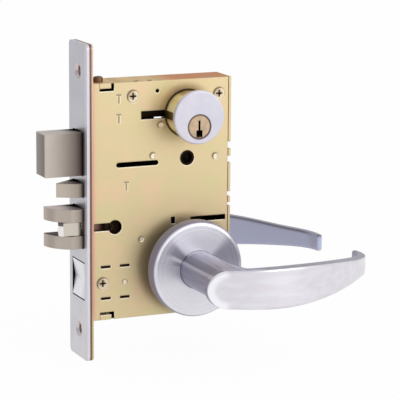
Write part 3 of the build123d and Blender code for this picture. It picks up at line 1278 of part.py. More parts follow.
with BuildPart() as outside_lever:
    with BuildSketch(Plane.XY.offset(LEVER_Z - BAND_STOCK_HALF)):
        with BuildLine():
            outer = from_axis(BAND_OUTER)
            inner = from_axis(BAND_INNER)
            Spline(*outer)
            Line(outer[-1], inner[-1])
            Spline(*reversed(inner))
            Line(inner[0], outer[0])
        make_face()
    extrude(amount=2 * BAND_STOCK_HALF)
    with BuildSketch(at_y(DOOR_FACE_Y)):
        with BuildLine():
            top = raised(BAND_TOP)
            low = raised(BAND_LOW)
            crown = (BACKSET - BAND_OVERHANG, LEVER_Z + NECK_R)
            keel = (BACKSET - BAND_OVERHANG, LEVER_Z - NECK_R)
            Spline(crown, *top, tangents=((1, 0.0), (1, -0.22)))
            Line(top[-1], low[-1])
            Spline(keel, *low, tangents=((1, -0.04), (1, 0.0)))
            ThreePointArc(crown, (BACKSET - BAND_OVERHANG - NECK_R, LEVER_Z), keel)
        make_face()
    extrude(amount=BAND_STOCK_DEPTH, mode=Mode.INTERSECT)
    fillet(outside_lever.edges(), BAND_EDGE_R)
    with BuildSketch(at_y(BLEND_ROOT_Y)):
        with Locations((BACKSET, LEVER_Z)):
            Ellipse(NECK_R, NECK_R)
    with BuildSketch(at_y(BLEND_MIDDLE_Y)):
        with Locations((BACKSET + BLEND_MIDDLE_HALF - NECK_R, LEVER_Z)):
            Ellipse(BLEND_MIDDLE_HALF, NECK_R - AIR)
    along = (cos(radians(BLEND_END_TILT)), -sin(radians(BLEND_END_TILT)), 0)
    ahead = (-sin(radians(BLEND_END_TILT)), -cos(radians(BLEND_END_TILT)), 0)
    with BuildSketch(Plane((BACKSET, BLEND_END_Y, LEVER_Z), along, ahead)):
        with Locations((BLEND_END_HALF - NECK_R, 0)):
            Ellipse(BLEND_END_HALF, NECK_R - AIR)
    loft()
    with Locations(spot(BACKSET, BLEND_ROOT_Y, LEVER_Z, FAR)):
        Cylinder(NECK_R, NECK_FRONT_Y - BLEND_ROOT_Y, align=STANDING)
        Cylinder(BEARING_R, BEARING_END_Y - BLEND_ROOT_Y, align=STANDING)
    box_between(
        (BACKSET - SPINDLE_HOLE / 2, -SPINDLE_LENGTH - AIR, LEVER_Z - SPINDLE_HOLE / 2),
        (BACKSET + SPINDLE_HOLE / 2, BEARING_END_Y, LEVER_Z + SPINDLE_HOLE / 2),
        Mode.SUBTRACT,
    )
    with Locations(spot(BACKSET, SET_SCREW_Y, LEVER_Z - NECK_R, DOWN)):
        Hole(SET_SCREW_R, NECK_R - SPINDLE_SIDE / 2)
outside_lever.part.label = "outside_lever"
export_step(outside_lever.part, "parts/outside_lever.step")

with BuildPart() as outside_set_screw:
    with Locations(spot(BACKSET, SET_SCREW_Y, LEVER_Z - SPINDLE_SIDE / 2, DOWN)):
        Cylinder(SET_SCREW_R, NECK_R - SPINDLE_SIDE / 2 - 2 * LOOSE, align=STANDING)
    with Locations(spot(BACKSET, SET_SCREW_Y, LEVER_Z - NECK_R + 2 * LOOSE, DOWN)):
        with BuildSketch() as hex_socket:
            RegularPolygon(SET_SCREW_R / 2, 6)
    extrude(hex_socket.sketch, amount=-SET_SCREW_R, mode=Mode.SUBTRACT)
outside_set_screw.part.label = "outside_set_screw"
export_step(outside_set_screw.part, "parts/outside_set_screw.step")

with BuildPart() as outside_spindle:
    box_between(
        (BACKSET - SPINDLE_SIDE / 2, -SPINDLE_LENGTH, LEVER_Z - SPINDLE_SIDE / 2),
        (BACKSET + SPINDLE_SIDE / 2, -HUB_SPLIT, LEVER_Z + SPINDLE_SIDE / 2),
    )
outside_spindle.part.label = "outside_spindle"
export_step(outside_spindle.part, "parts/outside_spindle.step")

with BuildPart() as outside_hub:
    with Locations(spot(BACKSET, -HUB_SPLIT, LEVER_Z, NEAR)):
        Cylinder(HUB_BEARING_R, CASE_HALF - HUB_SPLIT, align=STANDING)
        Cylinder(HUB_FLANGE_R, INSIDE_HALF - AIR - HUB_SPLIT, align=STANDING)
    with BuildSketch(at_y(HUB_ARM_Y)):
        pointer(BACKSET, LEVER_Z, 90.0, HUB_ARM + HUB_ARM_WIDTH / 2, HUB_ARM_WIDTH)
    extrude(amount=HUB_ARM_THICK)
    box_between(
        (BACKSET - SPINDLE_HOLE / 2, -CASE_HALF, LEVER_Z - SPINDLE_HOLE / 2),
        (BACKSET + SPINDLE_HOLE / 2, -HUB_SPLIT, LEVER_Z + SPINDLE_HOLE / 2),
        Mode.SUBTRACT,
    )
outside_hub.part.label = "outside_hub"
export_step(outside_hub.part, "parts/outside_hub.step")

with BuildPart() as outside_rose:
    with Locations(spot(BACKSET, ROSE_FACE_Y, LEVER_Z, NEAR)):
        Cylinder(ROSE_R, ROSE_THICK, align=FLUSH)
    fillet(outside_rose.faces().sort_by(Axis.Y)[0].edges(), ROSE_RIM_R)
    offset(amount=-ROSE_WALL, openings=outside_rose.faces().sort_by(Axis.Y)[-1])
    with Locations(spot(BACKSET, ROSE_FACE_Y, LEVER_Z, NEAR)):
        Hole(NECK_R + LOOSE, ROSE_THICK)
outside_rose.part.label = "outside_rose"
export_step(outside_rose.part, "parts/outside_rose.step")


def mounting_plate(face_y, hole_r):
    """A flat ring inside a rose, with two holes for what ties the roses together."""
    with BuildSketch(at_y(face_y)) as ring:
        with Locations((BACKSET, LEVER_Z)):
            Circle(ROSE_R - ROSE_WALL)
            Circle(BEARING_R + RUNNING + BUSH_WALL, mode=Mode.SUBTRACT)
        with Locations(*POST_PLACES):
            Circle(hole_r, mode=Mode.SUBTRACT)
    extrude(ring.sketch, amount=MOUNT_PLATE_THICK)


with BuildPart() as outside_mounting_plate:
    mounting_plate(DOOR_FACE_Y, POST_R)
outside_mounting_plate.part.label = "outside_mounting_plate"
export_step(outside_mounting_plate.part, "parts/outside_mounting_plate.step")

with BuildPart() as inside_mounting_plate:
    mounting_plate(-PLATE_FACE_Y, POST_R + AIR)
inside_mounting_plate.part.label = "inside_mounting_plate"
export_step(inside_mounting_plate.part, "parts/inside_mounting_plate.step")

with BuildPart() as outside_lever_bush:
    with BuildSketch(at_y(NECK_FRONT_Y + BUSH_LENGTH + RUNNING)):
        with Locations((BACKSET, LEVER_Z)):
            Circle(BEARING_R + RUNNING + BUSH_WALL)
            Circle(BEARING_R + RUNNING, mode=Mode.SUBTRACT)
    extrude(amount=BUSH_LENGTH)
outside_lever_bush.part.label = "outside_lever_bush"
export_step(outside_lever_bush.part, "parts/outside_lever_bush.step")

with BuildPart() as outside_lever_spring:
    spring_end = LEVER_SPRING_WIRE_R + AIR
    wind(
        (BACKSET, PLATE_FACE_Y - spring_end, LEVER_Z),
        ROSE_THICK - ROSE_WALL - MOUNT_PLATE_THICK - 2 * spring_end,
        LEVER_SPRING_TURNS,
        LEVER_SPRING_R,
        LEVER_SPRING_WIRE_R,
        NEAR,
    )
outside_lever_spring.part.label = "outside_lever_spring"
export_step(outside_lever_spring.part, "parts/outside_lever_spring.step")

MIRRORED = (
    (outside_lever, "inside_lever"),
    (outside_set_screw, "inside_set_screw"),
    (outside_spindle, "inside_spindle"),
    (outside_hub, "inside_hub"),
    (outside_rose, "inside_rose"),
    (outside_lever_bush, "inside_lever_bush"),
    (outside_lever_spring, "inside_lever_spring"),
)
for outside_piece, inside_name in MIRRORED:
    with BuildPart() as inside_piece:
        mirror(outside_piece.part, about=Plane.XZ)
    inside_piece.part.label = inside_name
    export_step(inside_piece.part, f"parts/{inside_name}.step")

with BuildPart() as mounting_posts:
    for x, z in POST_PLACES:
        with Locations(spot(x, PLATE_FACE_Y, z, FAR)):
            Cylinder(POST_R, POST_END_Y - PLATE_FACE_Y, align=STANDING)
        with Locations(spot(x, POST_END_Y, z, FAR)):
            Hole(MOUNT_SCREW_R, MOUNT_SCREW_LENGTH)
mounting_posts.part.label = "mounting_posts"
export_step(mounting_posts.part, "parts/mounting_posts.step")

with BuildPart() as mounting_screws:
    for x, z in POST_PLACES:
        with Locations(spot(x, -PLATE_FACE_Y, z, FAR)):
            Cylinder(MOUNT_SCREW_R, MOUNT_SCREW_LENGTH, align=FLUSH)
            Cylinder(MOUNT_SCREW_HEAD_R, MOUNT_SCREW_HEAD_THICK, align=STANDING)
mounting_screws.part.label = "mounting_screws"
export_step(mounting_screws.part, "parts/mounting_screws.step")
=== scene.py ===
"""Mortise lock with lever trim: finishes, small stamped details, floor, light and camera."""

import json
import math

import bmesh
import bpy
from mathutils import Matrix, Vector


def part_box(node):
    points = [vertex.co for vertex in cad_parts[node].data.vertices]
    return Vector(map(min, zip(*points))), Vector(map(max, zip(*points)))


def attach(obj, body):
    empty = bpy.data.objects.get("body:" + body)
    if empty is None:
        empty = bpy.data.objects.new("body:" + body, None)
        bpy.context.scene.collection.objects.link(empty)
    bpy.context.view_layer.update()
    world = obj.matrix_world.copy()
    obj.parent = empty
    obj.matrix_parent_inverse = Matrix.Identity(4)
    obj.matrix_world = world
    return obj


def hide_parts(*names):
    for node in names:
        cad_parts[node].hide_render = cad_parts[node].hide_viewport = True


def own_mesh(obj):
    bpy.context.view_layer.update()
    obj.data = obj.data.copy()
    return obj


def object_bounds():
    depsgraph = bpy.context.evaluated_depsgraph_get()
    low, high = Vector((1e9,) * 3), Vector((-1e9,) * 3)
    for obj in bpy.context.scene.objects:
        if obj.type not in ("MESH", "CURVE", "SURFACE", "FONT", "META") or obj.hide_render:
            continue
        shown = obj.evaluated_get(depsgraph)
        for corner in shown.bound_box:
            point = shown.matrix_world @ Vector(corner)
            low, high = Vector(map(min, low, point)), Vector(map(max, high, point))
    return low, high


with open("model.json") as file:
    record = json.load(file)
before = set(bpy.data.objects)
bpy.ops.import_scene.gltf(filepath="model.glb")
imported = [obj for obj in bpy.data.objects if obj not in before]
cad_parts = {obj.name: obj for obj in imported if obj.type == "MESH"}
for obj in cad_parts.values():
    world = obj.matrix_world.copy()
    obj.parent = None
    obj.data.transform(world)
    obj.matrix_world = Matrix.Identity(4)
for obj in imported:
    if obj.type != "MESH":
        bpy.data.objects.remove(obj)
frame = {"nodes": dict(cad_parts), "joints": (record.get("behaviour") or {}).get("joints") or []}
cad_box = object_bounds()

MM = 0.001


def box_mm(name):
    """A piece's lowest and highest corners, in millimetres."""
    low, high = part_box(name)
    return low / MM, high / MM


def middle_mm(name):
    """The middle of a piece's box, in millimetres."""
    low, high = box_mm(name)
    return (low + high) / 2


# Places on the lock, in millimetres, read from the pieces themselves
CASE_LOW, CASE_HIGH = box_mm("case_body")
COVER_LOW, COVER_HIGH = box_mm("case_cover")
FRONT_LOW, FRONT_HIGH = box_mm("armor_front")
HEAD_LOW, HEAD_HIGH = box_mm("cylinder_shell")
PLUG_LOW, PLUG_HIGH = box_mm("cylinder_plug")
ROSE_LOW, ROSE_HIGH = box_mm("outside_rose")
ROCKER_LOW, ROCKER_HIGH = box_mm("rocker_button")
CYLINDER_AXIS = (HEAD_LOW + HEAD_HIGH) / 2
PLUG_AXIS = (PLUG_LOW + PLUG_HIGH) / 2
PLUG_RADIUS = (PLUG_HIGH.x - PLUG_LOW.x) / 2
LEVER_AXIS = (ROSE_LOW + ROSE_HIGH) / 2
LEVER_TIP_X = box_mm("outside_lever")[1].x
ROSE_RADIUS = (ROSE_HIGH.x - ROSE_LOW.x) / 2
ROSE_FACE_Y = abs(ROSE_LOW.y)
TURN_AXIS = middle_mm("turn_hub")
LATCH_Z = middle_mm("latchbolt").z
TONGUE_TOP_Z = box_mm("latch_tongue")[1].z
ROCKER_Z = (ROCKER_LOW.z + ROCKER_HIGH.z) / 2

# Sizes that no box gives, in millimetres: the case's sheet, the cylinder's head and body
SHEET = 1.6
HEAD_THICK = 3.2
HEAD_RIM_RADIUS = 15.9
BODY_RADIUS = 14.7
THREAD_ROOT_RADIUS = 13.7

# The two front plates: their screws, their joint, and how far their windows reach
FRONT_SCREW_SPACING = 166.7
JOINT_X = 3.0
INNER_FRONT_BACK_X = 4.3
WINDOW_INSET = 3.5
OUTER_WINDOWS_Z = 82.0
INNER_WINDOWS_Z = 74.0

# Where the tongue's nose begins, and where the case's edges turn from cream to salmon
TONGUE_NOSE_X = -13.2
EDGE_CREAM_X, EDGE_SALMON_X = 48.0, 66.0

# Small things on the cover: X and Z, from the case's edges and the axes
COVER_SCREWS = (
    (32.5, CASE_HIGH.z - 9.1),
    (CASE_HIGH.x - 8.5, CASE_HIGH.z - 10.4),
    (CASE_HIGH.x - 8.5, CASE_LOW.z + 10.4),
    (11.9, ROCKER_Z - 1.85),
)
RIVETS = (
    (LEVER_AXIS.x - 18.65, CYLINDER_AXIS.z - 6.55),
    (LEVER_AXIS.x - 23.75, TURN_AXIS.z + 3.0),
    (LEVER_AXIS.x + 19.75, TURN_AXIS.z + 0.1),
    (LEVER_AXIS.x - 31.55, LATCH_Z - 9.2),
)
PRESSED_DIMPLE = (27.05, ROCKER_Z - 2.1)
STAMPED_MARKS = (
    (23.0, CASE_HIGH.z - 10.6),
    (23.0, CASE_HIGH.z - 23.1),
    (28.1, 9.5),
)

# Peened rivet ends and the dimple: radius and height, from the outer foot to the middle
RIVET_PROUD = 0.25
PEENED_PROFILE = (
    (2.28, 0.0), (2.2, 0.22), (1.95, 0.36), (1.7, 0.34), (1.3, 0.16), (0.7, 0.06), (0.2, 0.04),
)
DIMPLE_PROFILE = ((1.9, 0.0), (1.75, 0.18), (1.4, 0.34), (0.9, 0.42), (0.3, 0.45))
TURNED_STEPS = 40

# Bolt springs: each one's piece, the joint of its bolt and its turns
BOLT_SPRINGS = (("latch_spring", "latch_slide", 9), ("guard_spring", "guard_bolt_slide", 11))
WIRE_RADIUS = 0.45
SPRING_SLACK = 0.1
COIL_STEPS = 28
WIRE_SIDES = 10

# How fine the lines of a brushed metal are each way
ALONG_X = (0.12, 3.0, 3.0)
ALONG_Z = (3.0, 3.0, 0.12)
ALL_WAYS = (1.6, 1.6, 1.6)

# Camera: angles, distances in metres, and the lens in millimetres
VIEW_AZIMUTH = math.radians(-23.788)
VIEW_ELEVATION = math.radians(11.463)
VIEW_ROLL = math.radians(0.410)
VIEW_DISTANCE = 1.42277
VIEW_REACH = 50.0
VIEW_TARGET = Vector((0.084349, 0.0, -0.005635))
VIEW_LENS = 196.96
SENSOR_WIDTH = 36.0

# Floor, room and lamp, in metres and watts
FLOOR_RADIUS = 7.0
FLOOR_SIDES = 96
FLOOR_GLOW = 0.96
FLOOR_PALE = (0.90, 0.90, 0.90)
FLOOR_PALEST = (0.94, 0.94, 0.94)
WHITE = (1.0, 1.0, 1.0)
ROOM_RIGHT = (0.92, 0.92, 0.94)
ROOM_LEFT = (0.50, 0.50, 0.56)
ROOM_OVERHEAD = (0.80, 0.80, 0.82)
LAMP_PLACE = Vector((1.0, -1.5, 0.55))
LAMP_AIM = Vector((0.07, 0.0, 0.0))
LAMP_WIDTH = 1.4
LAMP_WATTS = 9.2


def srgb(red, green, blue):
    """A colour given as screen values from 0 to 255, as the linear values that shaders use."""
    return tuple(linear(value / 255) for value in (red, green, blue))


def linear(value):
    """A screen value from 0 to 1 as a linear one."""
    if value <= 0.04045:
        return value / 12.92
    return ((value + 0.055) / 1.055) ** 2.4


def scaled(colour, factor):
    """A lighter or darker colour, held at white."""
    return tuple(min(value * factor, 1.0) for value in colour)


SHADOW_BROWN = srgb(30, 20, 12)


class Shade:
    """A socket that takes part in sums: each operator adds a Math node."""

    def __init__(self, tree, socket):
        self.tree = tree
        self.socket = socket

    def math(self, operation, *values, clamp=False):
        """One Math node on the given values."""
        settings = {"operation": operation, "use_clamp": clamp}
        return add_node(self.tree, "ShaderNodeMath", settings, dict(enumerate(values)))

    def __add__(self, other):
        return self.math("ADD", self, other)

    def __radd__(self, other):
        return self.math("ADD", other, self)

    def __sub__(self, other):
        return self.math("SUBTRACT", self, other)

    def __rsub__(self, other):
        return self.math("SUBTRACT", other, self)

    def __mul__(self, other):
        return self.math("MULTIPLY", self, other)

    def __rmul__(self, other):
        return self.math("MULTIPLY", other, self)

    def __pow__(self, other):
        return self.math("POWER", self, other)

    def __neg__(self):
        return self.math("MULTIPLY", self, -1.0)

    def __abs__(self):
        return self.math("ABSOLUTE", self)

    def above(self, low, high):
        """0 below low, 1 above high, and smooth between them."""
        return add_node(
            self.tree,
            "ShaderNodeMapRange",
            {"interpolation_type": "SMOOTHSTEP"},
            {"Value": self, "From Min": low, "From Max": high},
        )

    def below(self, low, high):
        """1 below low, 0 above high, and smooth between them."""
        return 1.0 - self.above(low, high)

    def between(self, low, high, soft):
        """1 from low to high, falling to 0 over the soft distance on each side."""
        return self.above(low - soft, low) * self.below(high, high + soft)

    def clipped(self):
        """Held between 0 and 1."""
        return self.math("ADD", self, 0.0, clamp=True)

    def smaller(self, other):
        return self.math("MINIMUM", self, other)

    def larger(self, other):
        return self.math("MAXIMUM", self, other)


def add_node(tree, kind, settings=None, sockets=None, output=0):
    """Adds any node: its settings first, and then what goes into its sockets."""
    node = tree.nodes.new(kind)
    for name, value in (settings or {}).items():
        setattr(node, name, value)
    for name, value in (sockets or {}).items():
        feed(tree, node.inputs[name], value)
    return Shade(tree, node.outputs[output]) if len(node.outputs) else None


def feed(tree, socket, value):
    """Gives a socket a link, a number, a colour or a vector."""
    if isinstance(value, Shade):
        tree.links.new(value.socket, socket)
    elif isinstance(value, tuple) and socket.type == "RGBA":
        socket.default_value = (*value, 1.0)
    else:
        socket.default_value = value


def swing(noise, amount):
    """A noise's rise and fall round its middle, for a roughness to vary by."""
    return (noise - 0.5) * amount


def turn_round(up, across):
    """The angle of a point round an axis, in radians."""
    return up.math("ARCTAN2", up, across)


def radius_from(x, z, centre):
    """The distance from an axis along Y that passes through a point (x, z)."""
    across = x - centre[0]
    up = z - centre[1]
    return (across * across + up * up) ** 0.5


def nearest_radius(x, z, centres):
    """The distance from the nearest of several axes along Y."""
    distances = [radius_from(x, z, centre) for centre in centres]
    least = distances[0]
    for distance in distances[1:]:
        least = least.smaller(distance)
    return least


def front_screw_radius(y, z):
    """The distance from the axis of the nearer of the two front screw holes."""
    up = abs(z) - FRONT_SCREW_SPACING / 2
    return (y * y + up * up) ** 0.5


def flat(point):
    """A point's X and Z."""
    return point.x, point.z


class Finish:
    """A node tree being written for one material or room."""

    def __init__(self, tree):
        self.tree = tree
        self.tree.nodes.clear()

    def node(self, kind, settings=None, sockets=None, output=0):
        return add_node(self.tree, kind, settings, sockets, output)

    def place(self):
        """Where a point is on its piece, in millimetres."""
        coords = self.node("ShaderNodeTexCoord", output="Object")
        return self.node(
            "ShaderNodeVectorMath", {"operation": "SCALE"}, {0: coords, "Scale": 1 / MM}
        )

    def stretched(self, place, scale):
        """A place with each of its parts scaled by its own amount."""
        return self.node(
            "ShaderNodeVectorMath", {"operation": "MULTIPLY"}, {0: place, 1: scale}
        )

    def parts(self, vector):
        """A vector's X, Y and Z."""
        split = self.node("ShaderNodeSeparateXYZ", sockets={0: vector}).socket.node
        return tuple(Shade(self.tree, output) for output in split.outputs)

    def joined(self, x, y, z):
        """A vector of three parts."""
        return self.node("ShaderNodeCombineXYZ", sockets={"X": x, "Y": y, "Z": z})

    def noise(self, place, scale, detail=3.0, rough=0.5):
        return self.node(
            "ShaderNodeTexNoise",
            sockets={"Vector": place, "Scale": scale, "Detail": detail, "Roughness": rough},
        )

    def mix(self, factor, first, second):
        """first where factor is 0, second where it is 1."""
        return self.node(
            "ShaderNodeMix",
            {"data_type": "RGBA"},
            {0: factor, 6: first, 7: second},
            output=2,
        )

    def facing(self):
        """The parts of the surface's own direction, fixed to the piece."""
        direction = self.node("ShaderNodeTexCoord", output="Normal")
        return self.parts(direction)

    def soft_edges(self, radius):
        """The surface's direction with its edges rounded to a radius in millimetres."""
        return self.node("ShaderNodeBevel", {"samples": 4}, {"Radius": radius * MM})

    def edge_mask(self, radius):
        """1 on a sharp edge and 0 on a flat."""
        unrounded = self.node("ShaderNodeNewGeometry", output="Normal")
        turned = self.node(
            "ShaderNodeVectorMath",
            {"operation": "DOT_PRODUCT"},
            {0: self.soft_edges(radius), 1: unrounded},
            output="Value",
        )
        return (1.0 - turned).above(0.01, 0.16)

    def relief(self, height, strength, depth, edge_radius):
        """Bumps of a depth, over edges softened to a radius, both in millimetres."""
        return self.node(
            "ShaderNodeBump",
            sockets={
                "Height": height,
                "Strength": strength,
                "Distance": depth * MM,
                "Normal": self.soft_edges(edge_radius),
            },
        )

    def surface(self, hollow=None, **sockets):
        """The finished metal; hollow is 1 where no light gets in, and there a flat shadow brown is
        painted as shade.
        """
        names = {key.replace("_", " ").title(): value for key, value in sockets.items()}
        shader = self.node("ShaderNodeBsdfPrincipled", sockets=names)
        if hollow is not None:
            shade_bsdf = self.node("ShaderNodeBsdfDiffuse", sockets={"Color": SHADOW_BROWN})
            shader = self.node("ShaderNodeMixShader", sockets={0: hollow, 1: shader, 2: shade_bsdf})
        self.node("ShaderNodeOutputMaterial", sockets={"Surface": shader})


def new_finish(name):
    """A new material and the finish that writes its nodes."""
    material = bpy.data.materials.new(name)
    material.use_nodes = True
    return material, Finish(material.node_tree)


def stock(f, colour, grain, spread=0.05):
    """The start of a brushed finish: its place, its fine lines and its base colour."""
    place = f.place()
    lines = f.noise(f.stretched(place, grain), 1.0, detail=4.0, rough=0.6)
    cloud = f.noise(place, 0.06, detail=3.0)
    low, high = scaled(colour, 1 - spread), scaled(colour, 1 + spread)
    base = f.mix(0.6 * cloud.above(0.3, 0.7) + 0.4 * lines.above(0.3, 0.7), low, high)
    return place, lines, base


def satin(name, colour, rough, grain, spread=0.05, tarnish=None, metallic=1.0):
    """A plain brushed or plated metal: fine lines, slow colour variation and rubbed edges."""
    material, f = new_finish(name)
    place, lines, base = stock(f, colour, grain, spread)
    speck = f.noise(place, 0.9, detail=2.0)
    worn = f.edge_mask(0.35)
    if tarnish:
        patch = f.noise(place, 0.035, detail=4.0).above(0.45, 0.75)
        base = f.mix(patch * 0.3, base, tarnish)
    base = f.mix(worn * 0.7, base, scaled(colour, 1.25))
    roughness = (rough + swing(lines, 0.12) + swing(speck, 0.06) - worn * 0.05).clipped()
    normal = f.relief(lines, 0.35, depth=0.02, edge_radius=0.35)
    f.surface(base_color=base, metallic=metallic, roughness=roughness, normal=normal)
    return material


def passivated(f, place, rolled):
    """The zinc's skin: rolled lines, with pink and olive clouds."""
    skin = srgb(216, 197, 154)
    blush = srgb(228, 193, 160)
    green = srgb(208, 200, 148)
    pink = f.noise(place, 0.06, detail=4.0).above(0.46, 0.70)
    olive = f.noise(f.stretched(place, (1.0, 1.0, -1.0)), 0.075, detail=4.0).above(0.46, 0.70)
    base = f.mix(rolled.above(0.3, 0.7) * 0.5, skin, scaled(skin, 0.955))
    base = f.mix(pink * 0.55, base, blush)
    return f.mix(olive * 0.50, base, green)


def painted_shade_round(f, base, place, painted_shade_brown):
    """Painted shadow on the cover round the cylinder, most on its upper left, and painted shade
    round the rose.
    """
    x, _, z = f.parts(place)
    shade_noise = f.noise(place, 0.12, detail=3.0)
    cylinder_r = radius_from(x, z, flat(CYLINDER_AXIS))
    cylinder_shade = cylinder_r.below(BODY_RADIUS + 0.5, BODY_RADIUS + 7.0) * (0.55 + 0.25 * shade_noise)
    upper_left = ((z - CYLINDER_AXIS.z) - 0.8 * (x - CYLINDER_AXIS.x)).above(-6.0, 12.0)
    base = f.mix(cylinder_shade * (0.08 + 0.92 * upper_left), base, painted_shade_brown)
    rose_r = radius_from(x, z, flat(LEVER_AXIS))
    around_rose = rose_r.below(ROSE_RADIUS - 1.0, ROSE_RADIUS + 5.0) * (0.25 + 0.20 * shade_noise)
    return f.mix(around_rose, base, painted_shade_brown)


def inside_case(x, y, z):
    """1 below the cover's face and within the walls of the body, where it is painted dark as
    shade.
    """
    sunk = y.above(COVER_LOW.y + 0.08, COVER_LOW.y + 0.75)
    sunk = sunk * y.below(COVER_HIGH.y - 0.05, COVER_HIGH.y + 0.1)
    sunk = sunk * x.between(CASE_LOW.x + 0.4, COVER_HIGH.x - 0.3, 0.3)
    sunk = sunk * z.between(CASE_LOW.z + 0.4, CASE_HIGH.z - 0.4, 0.3)
    room = x.between(CASE_LOW.x + SHEET - 0.4, CASE_HIGH.x - SHEET + 0.4, 0.3)
    room = room * y.between(COVER_HIGH.y - 0.2, CASE_HIGH.y - SHEET + 0.4, 0.3)
    room = room * z.between(CASE_LOW.z + SHEET - 0.4, CASE_HIGH.z - SHEET + 0.4, 0.3)
    return (sunk + room).clipped()


def zinc_sheet():
    """Yellow passivated zinc: pink and green clouds, salmon edges, painted shadow round the
    cylinder and rose, painted highlights and shade on hole rims, and painted shade inside the
    case.
    """
    material, f = new_finish("yellow_passivated_zinc")
    front_pink = srgb(222, 170, 146)
    edge_cream = srgb(222, 188, 134)
    edge_salmon = srgb(200, 110, 34)
    edge_dull = srgb(176, 148, 104)
    lit_cream = srgb(255, 250, 232)
    rubbed = srgb(244, 232, 208)
    painted_shade_brown = srgb(112, 84, 50)
    place = f.place()
    x, y, z = f.parts(place)
    fine = f.noise(place, 2.2, detail=4.0, rough=0.6)
    rolled = f.noise(f.stretched(place, (0.25, 1.0, 4.0)), 1.0, detail=3.0)
    base = passivated(f, place, rolled)
    near_front = x.between(CASE_LOW.x, CASE_LOW.x + 1.2, 2.4)
    base = f.mix(near_front * 0.8, base, front_pink)
    # Painted shadow round the cylinder and the rose
    base = painted_shade_round(f, base, place, painted_shade_brown)

    # Edge walls of the case, paler toward the front and duller in places
    _, ny, _ = f.facing()
    on_edge = (1.0 - ny * ny).above(0.25, 0.8)
    edge_tone = f.mix(x.above(EDGE_CREAM_X, EDGE_SALMON_X), edge_cream, edge_salmon)
    base = f.mix(on_edge * 0.9, base, edge_tone)
    dull_and_neck_shade = f.noise(f.stretched(place, (1.0, 0.2, 1.0)), 0.09, detail=2.0).above(0.35, 0.65)
    base = f.mix(on_edge * dull_and_neck_shade * 0.55, base, edge_dull)

    # Rims of the cover's holes and slots: a painted highlight on their lower right and painted
    # shade on their upper left
    bend_x, _, bend_z = f.parts(f.soft_edges(1.5))
    on_face = (-ny).above(0.9, 0.98)
    within = x.between(CASE_LOW.x + 3.0, CASE_HIGH.x - 5.0, 1.0)
    within = within * z.between(CASE_LOW.z + 3.0, CASE_HIGH.z - 3.0, 1.0)
    lit_rim = ((bend_z - 0.6 * bend_x) * on_face * within).above(0.10, 0.40)
    shaded_rim = ((0.6 * bend_x - bend_z) * on_face * within).above(0.10, 0.40)
    base = f.mix(shaded_rim * 0.25, base, painted_shade_brown)
    base = f.mix(lit_rim * 0.9, base, lit_cream)
    worn = f.edge_mask(0.6) * (1.0 - on_face)
    base = f.mix(worn * 0.6, base, rubbed)

    # The dark line where the cylinder goes in, and the rims of the stamped marks
    cylinder_r = radius_from(x, z, flat(CYLINDER_AXIS))
    mouth = cylinder_r.between(BODY_RADIUS, BODY_RADIUS + 0.9, 0.5)
    base = f.mix(mouth * 0.85, base, SHADOW_BROWN)
    for mark_x, mark_z in STAMPED_MARKS:
        beside = x.between(mark_x + 0.5, mark_x + 1.1, 0.35)
        beside = beside * z.between(mark_z - 2.7, mark_z + 2.2, 0.5)
        behind = x.between(mark_x - 1.3, mark_x - 0.7, 0.35)
        behind = behind * z.between(mark_z - 2.7, mark_z + 1.2, 0.5)
        base = f.mix((beside * 0.50 + behind * 0.18).clipped(), base, rubbed)

    # Painted shade: the inside of the case goes shadow brown and matt
    inside = inside_case(x, y, z)
    base = f.mix(inside, base, SHADOW_BROWN)
    dullness = inside * 0.3 + on_edge * 0.18
    roughness = (0.40 + swing(fine, 0.14) + swing(rolled, 0.08) + dullness).clipped()
    normal = f.relief(fine, 0.25, depth=0.03, edge_radius=0.5)
    f.surface(
        base_color=base, metallic=0.62, roughness=roughness, normal=normal, hollow=inside
    )
    return material


def front_plate():
    """The armored front: lengthwise satin, a bright rubbed edge, a painted highlight along its
    near edge and painted shade on its window walls.
    """
    material, f = new_finish("satin_front_plate")
    steel = srgb(184, 183, 189)
    foot_grey = srgb(208, 206, 209)
    cloud_grey = srgb(176, 172, 180)
    edge_white = srgb(222, 219, 226)
    band_white = srgb(230, 228, 234)
    rubbed = srgb(246, 243, 250)
    window_shadow = srgb(44, 38, 36)
    sink_warm = srgb(212, 200, 200)
    place, lines, base = stock(f, steel, ALONG_Z)
    _, y, z = f.parts(place)
    toward_foot = z.below(FRONT_LOW.z, FRONT_HIGH.z * 0.4)
    base = f.mix(toward_foot * 0.8, base, foot_grey)
    cloud = f.noise(place, 0.05, detail=3.0).above(0.4, 0.7)
    base = f.mix(cloud * 0.35, base, cloud_grey)
    # Painted highlight along the near edge, where a rounded edge would catch the light
    near_edge = y.below(FRONT_LOW.y + 0.6, FRONT_LOW.y + 2.6)
    base = f.mix(near_edge * 0.6, base, edge_white)
    worn = f.edge_mask(0.5)
    base = f.mix(worn * 0.75, base, rubbed)
    nx, _, _ = f.facing()
    # Painted shade on the walls of the windows, dark and matt
    windows = y.between(FRONT_LOW.y + WINDOW_INSET, FRONT_HIGH.y - WINDOW_INSET, 0.5)
    windows = windows * z.between(-OUTER_WINDOWS_Z, OUTER_WINDOWS_Z, 1.0)
    wall = abs(nx).below(0.3, 0.7) * windows
    base = f.mix(wall, base, window_shadow)
    countersink = front_screw_radius(y, z).below(5.0, 5.3) * abs(nx).below(0.85, 0.97)
    base = f.mix(countersink * 0.7, base, sink_warm)
    # Painted light on the band along the near side, with less metal, to lift the shade that falls
    # there
    near_band = y.below(FRONT_LOW.y + 3.6, FRONT_LOW.y + 4.6) * (1.0 - wall)
    base = f.mix(near_band * 0.35, base, band_white)
    roughness = (0.34 + swing(lines, 0.12) + wall * 0.3).clipped()
    normal = f.relief(lines, 0.35, depth=0.02, edge_radius=0.5)
    f.surface(
        base_color=base,
        metallic=1.0 - 0.65 * near_band,
        roughness=roughness,
        normal=normal,
        hollow=wall * 0.85,
    )
    return material


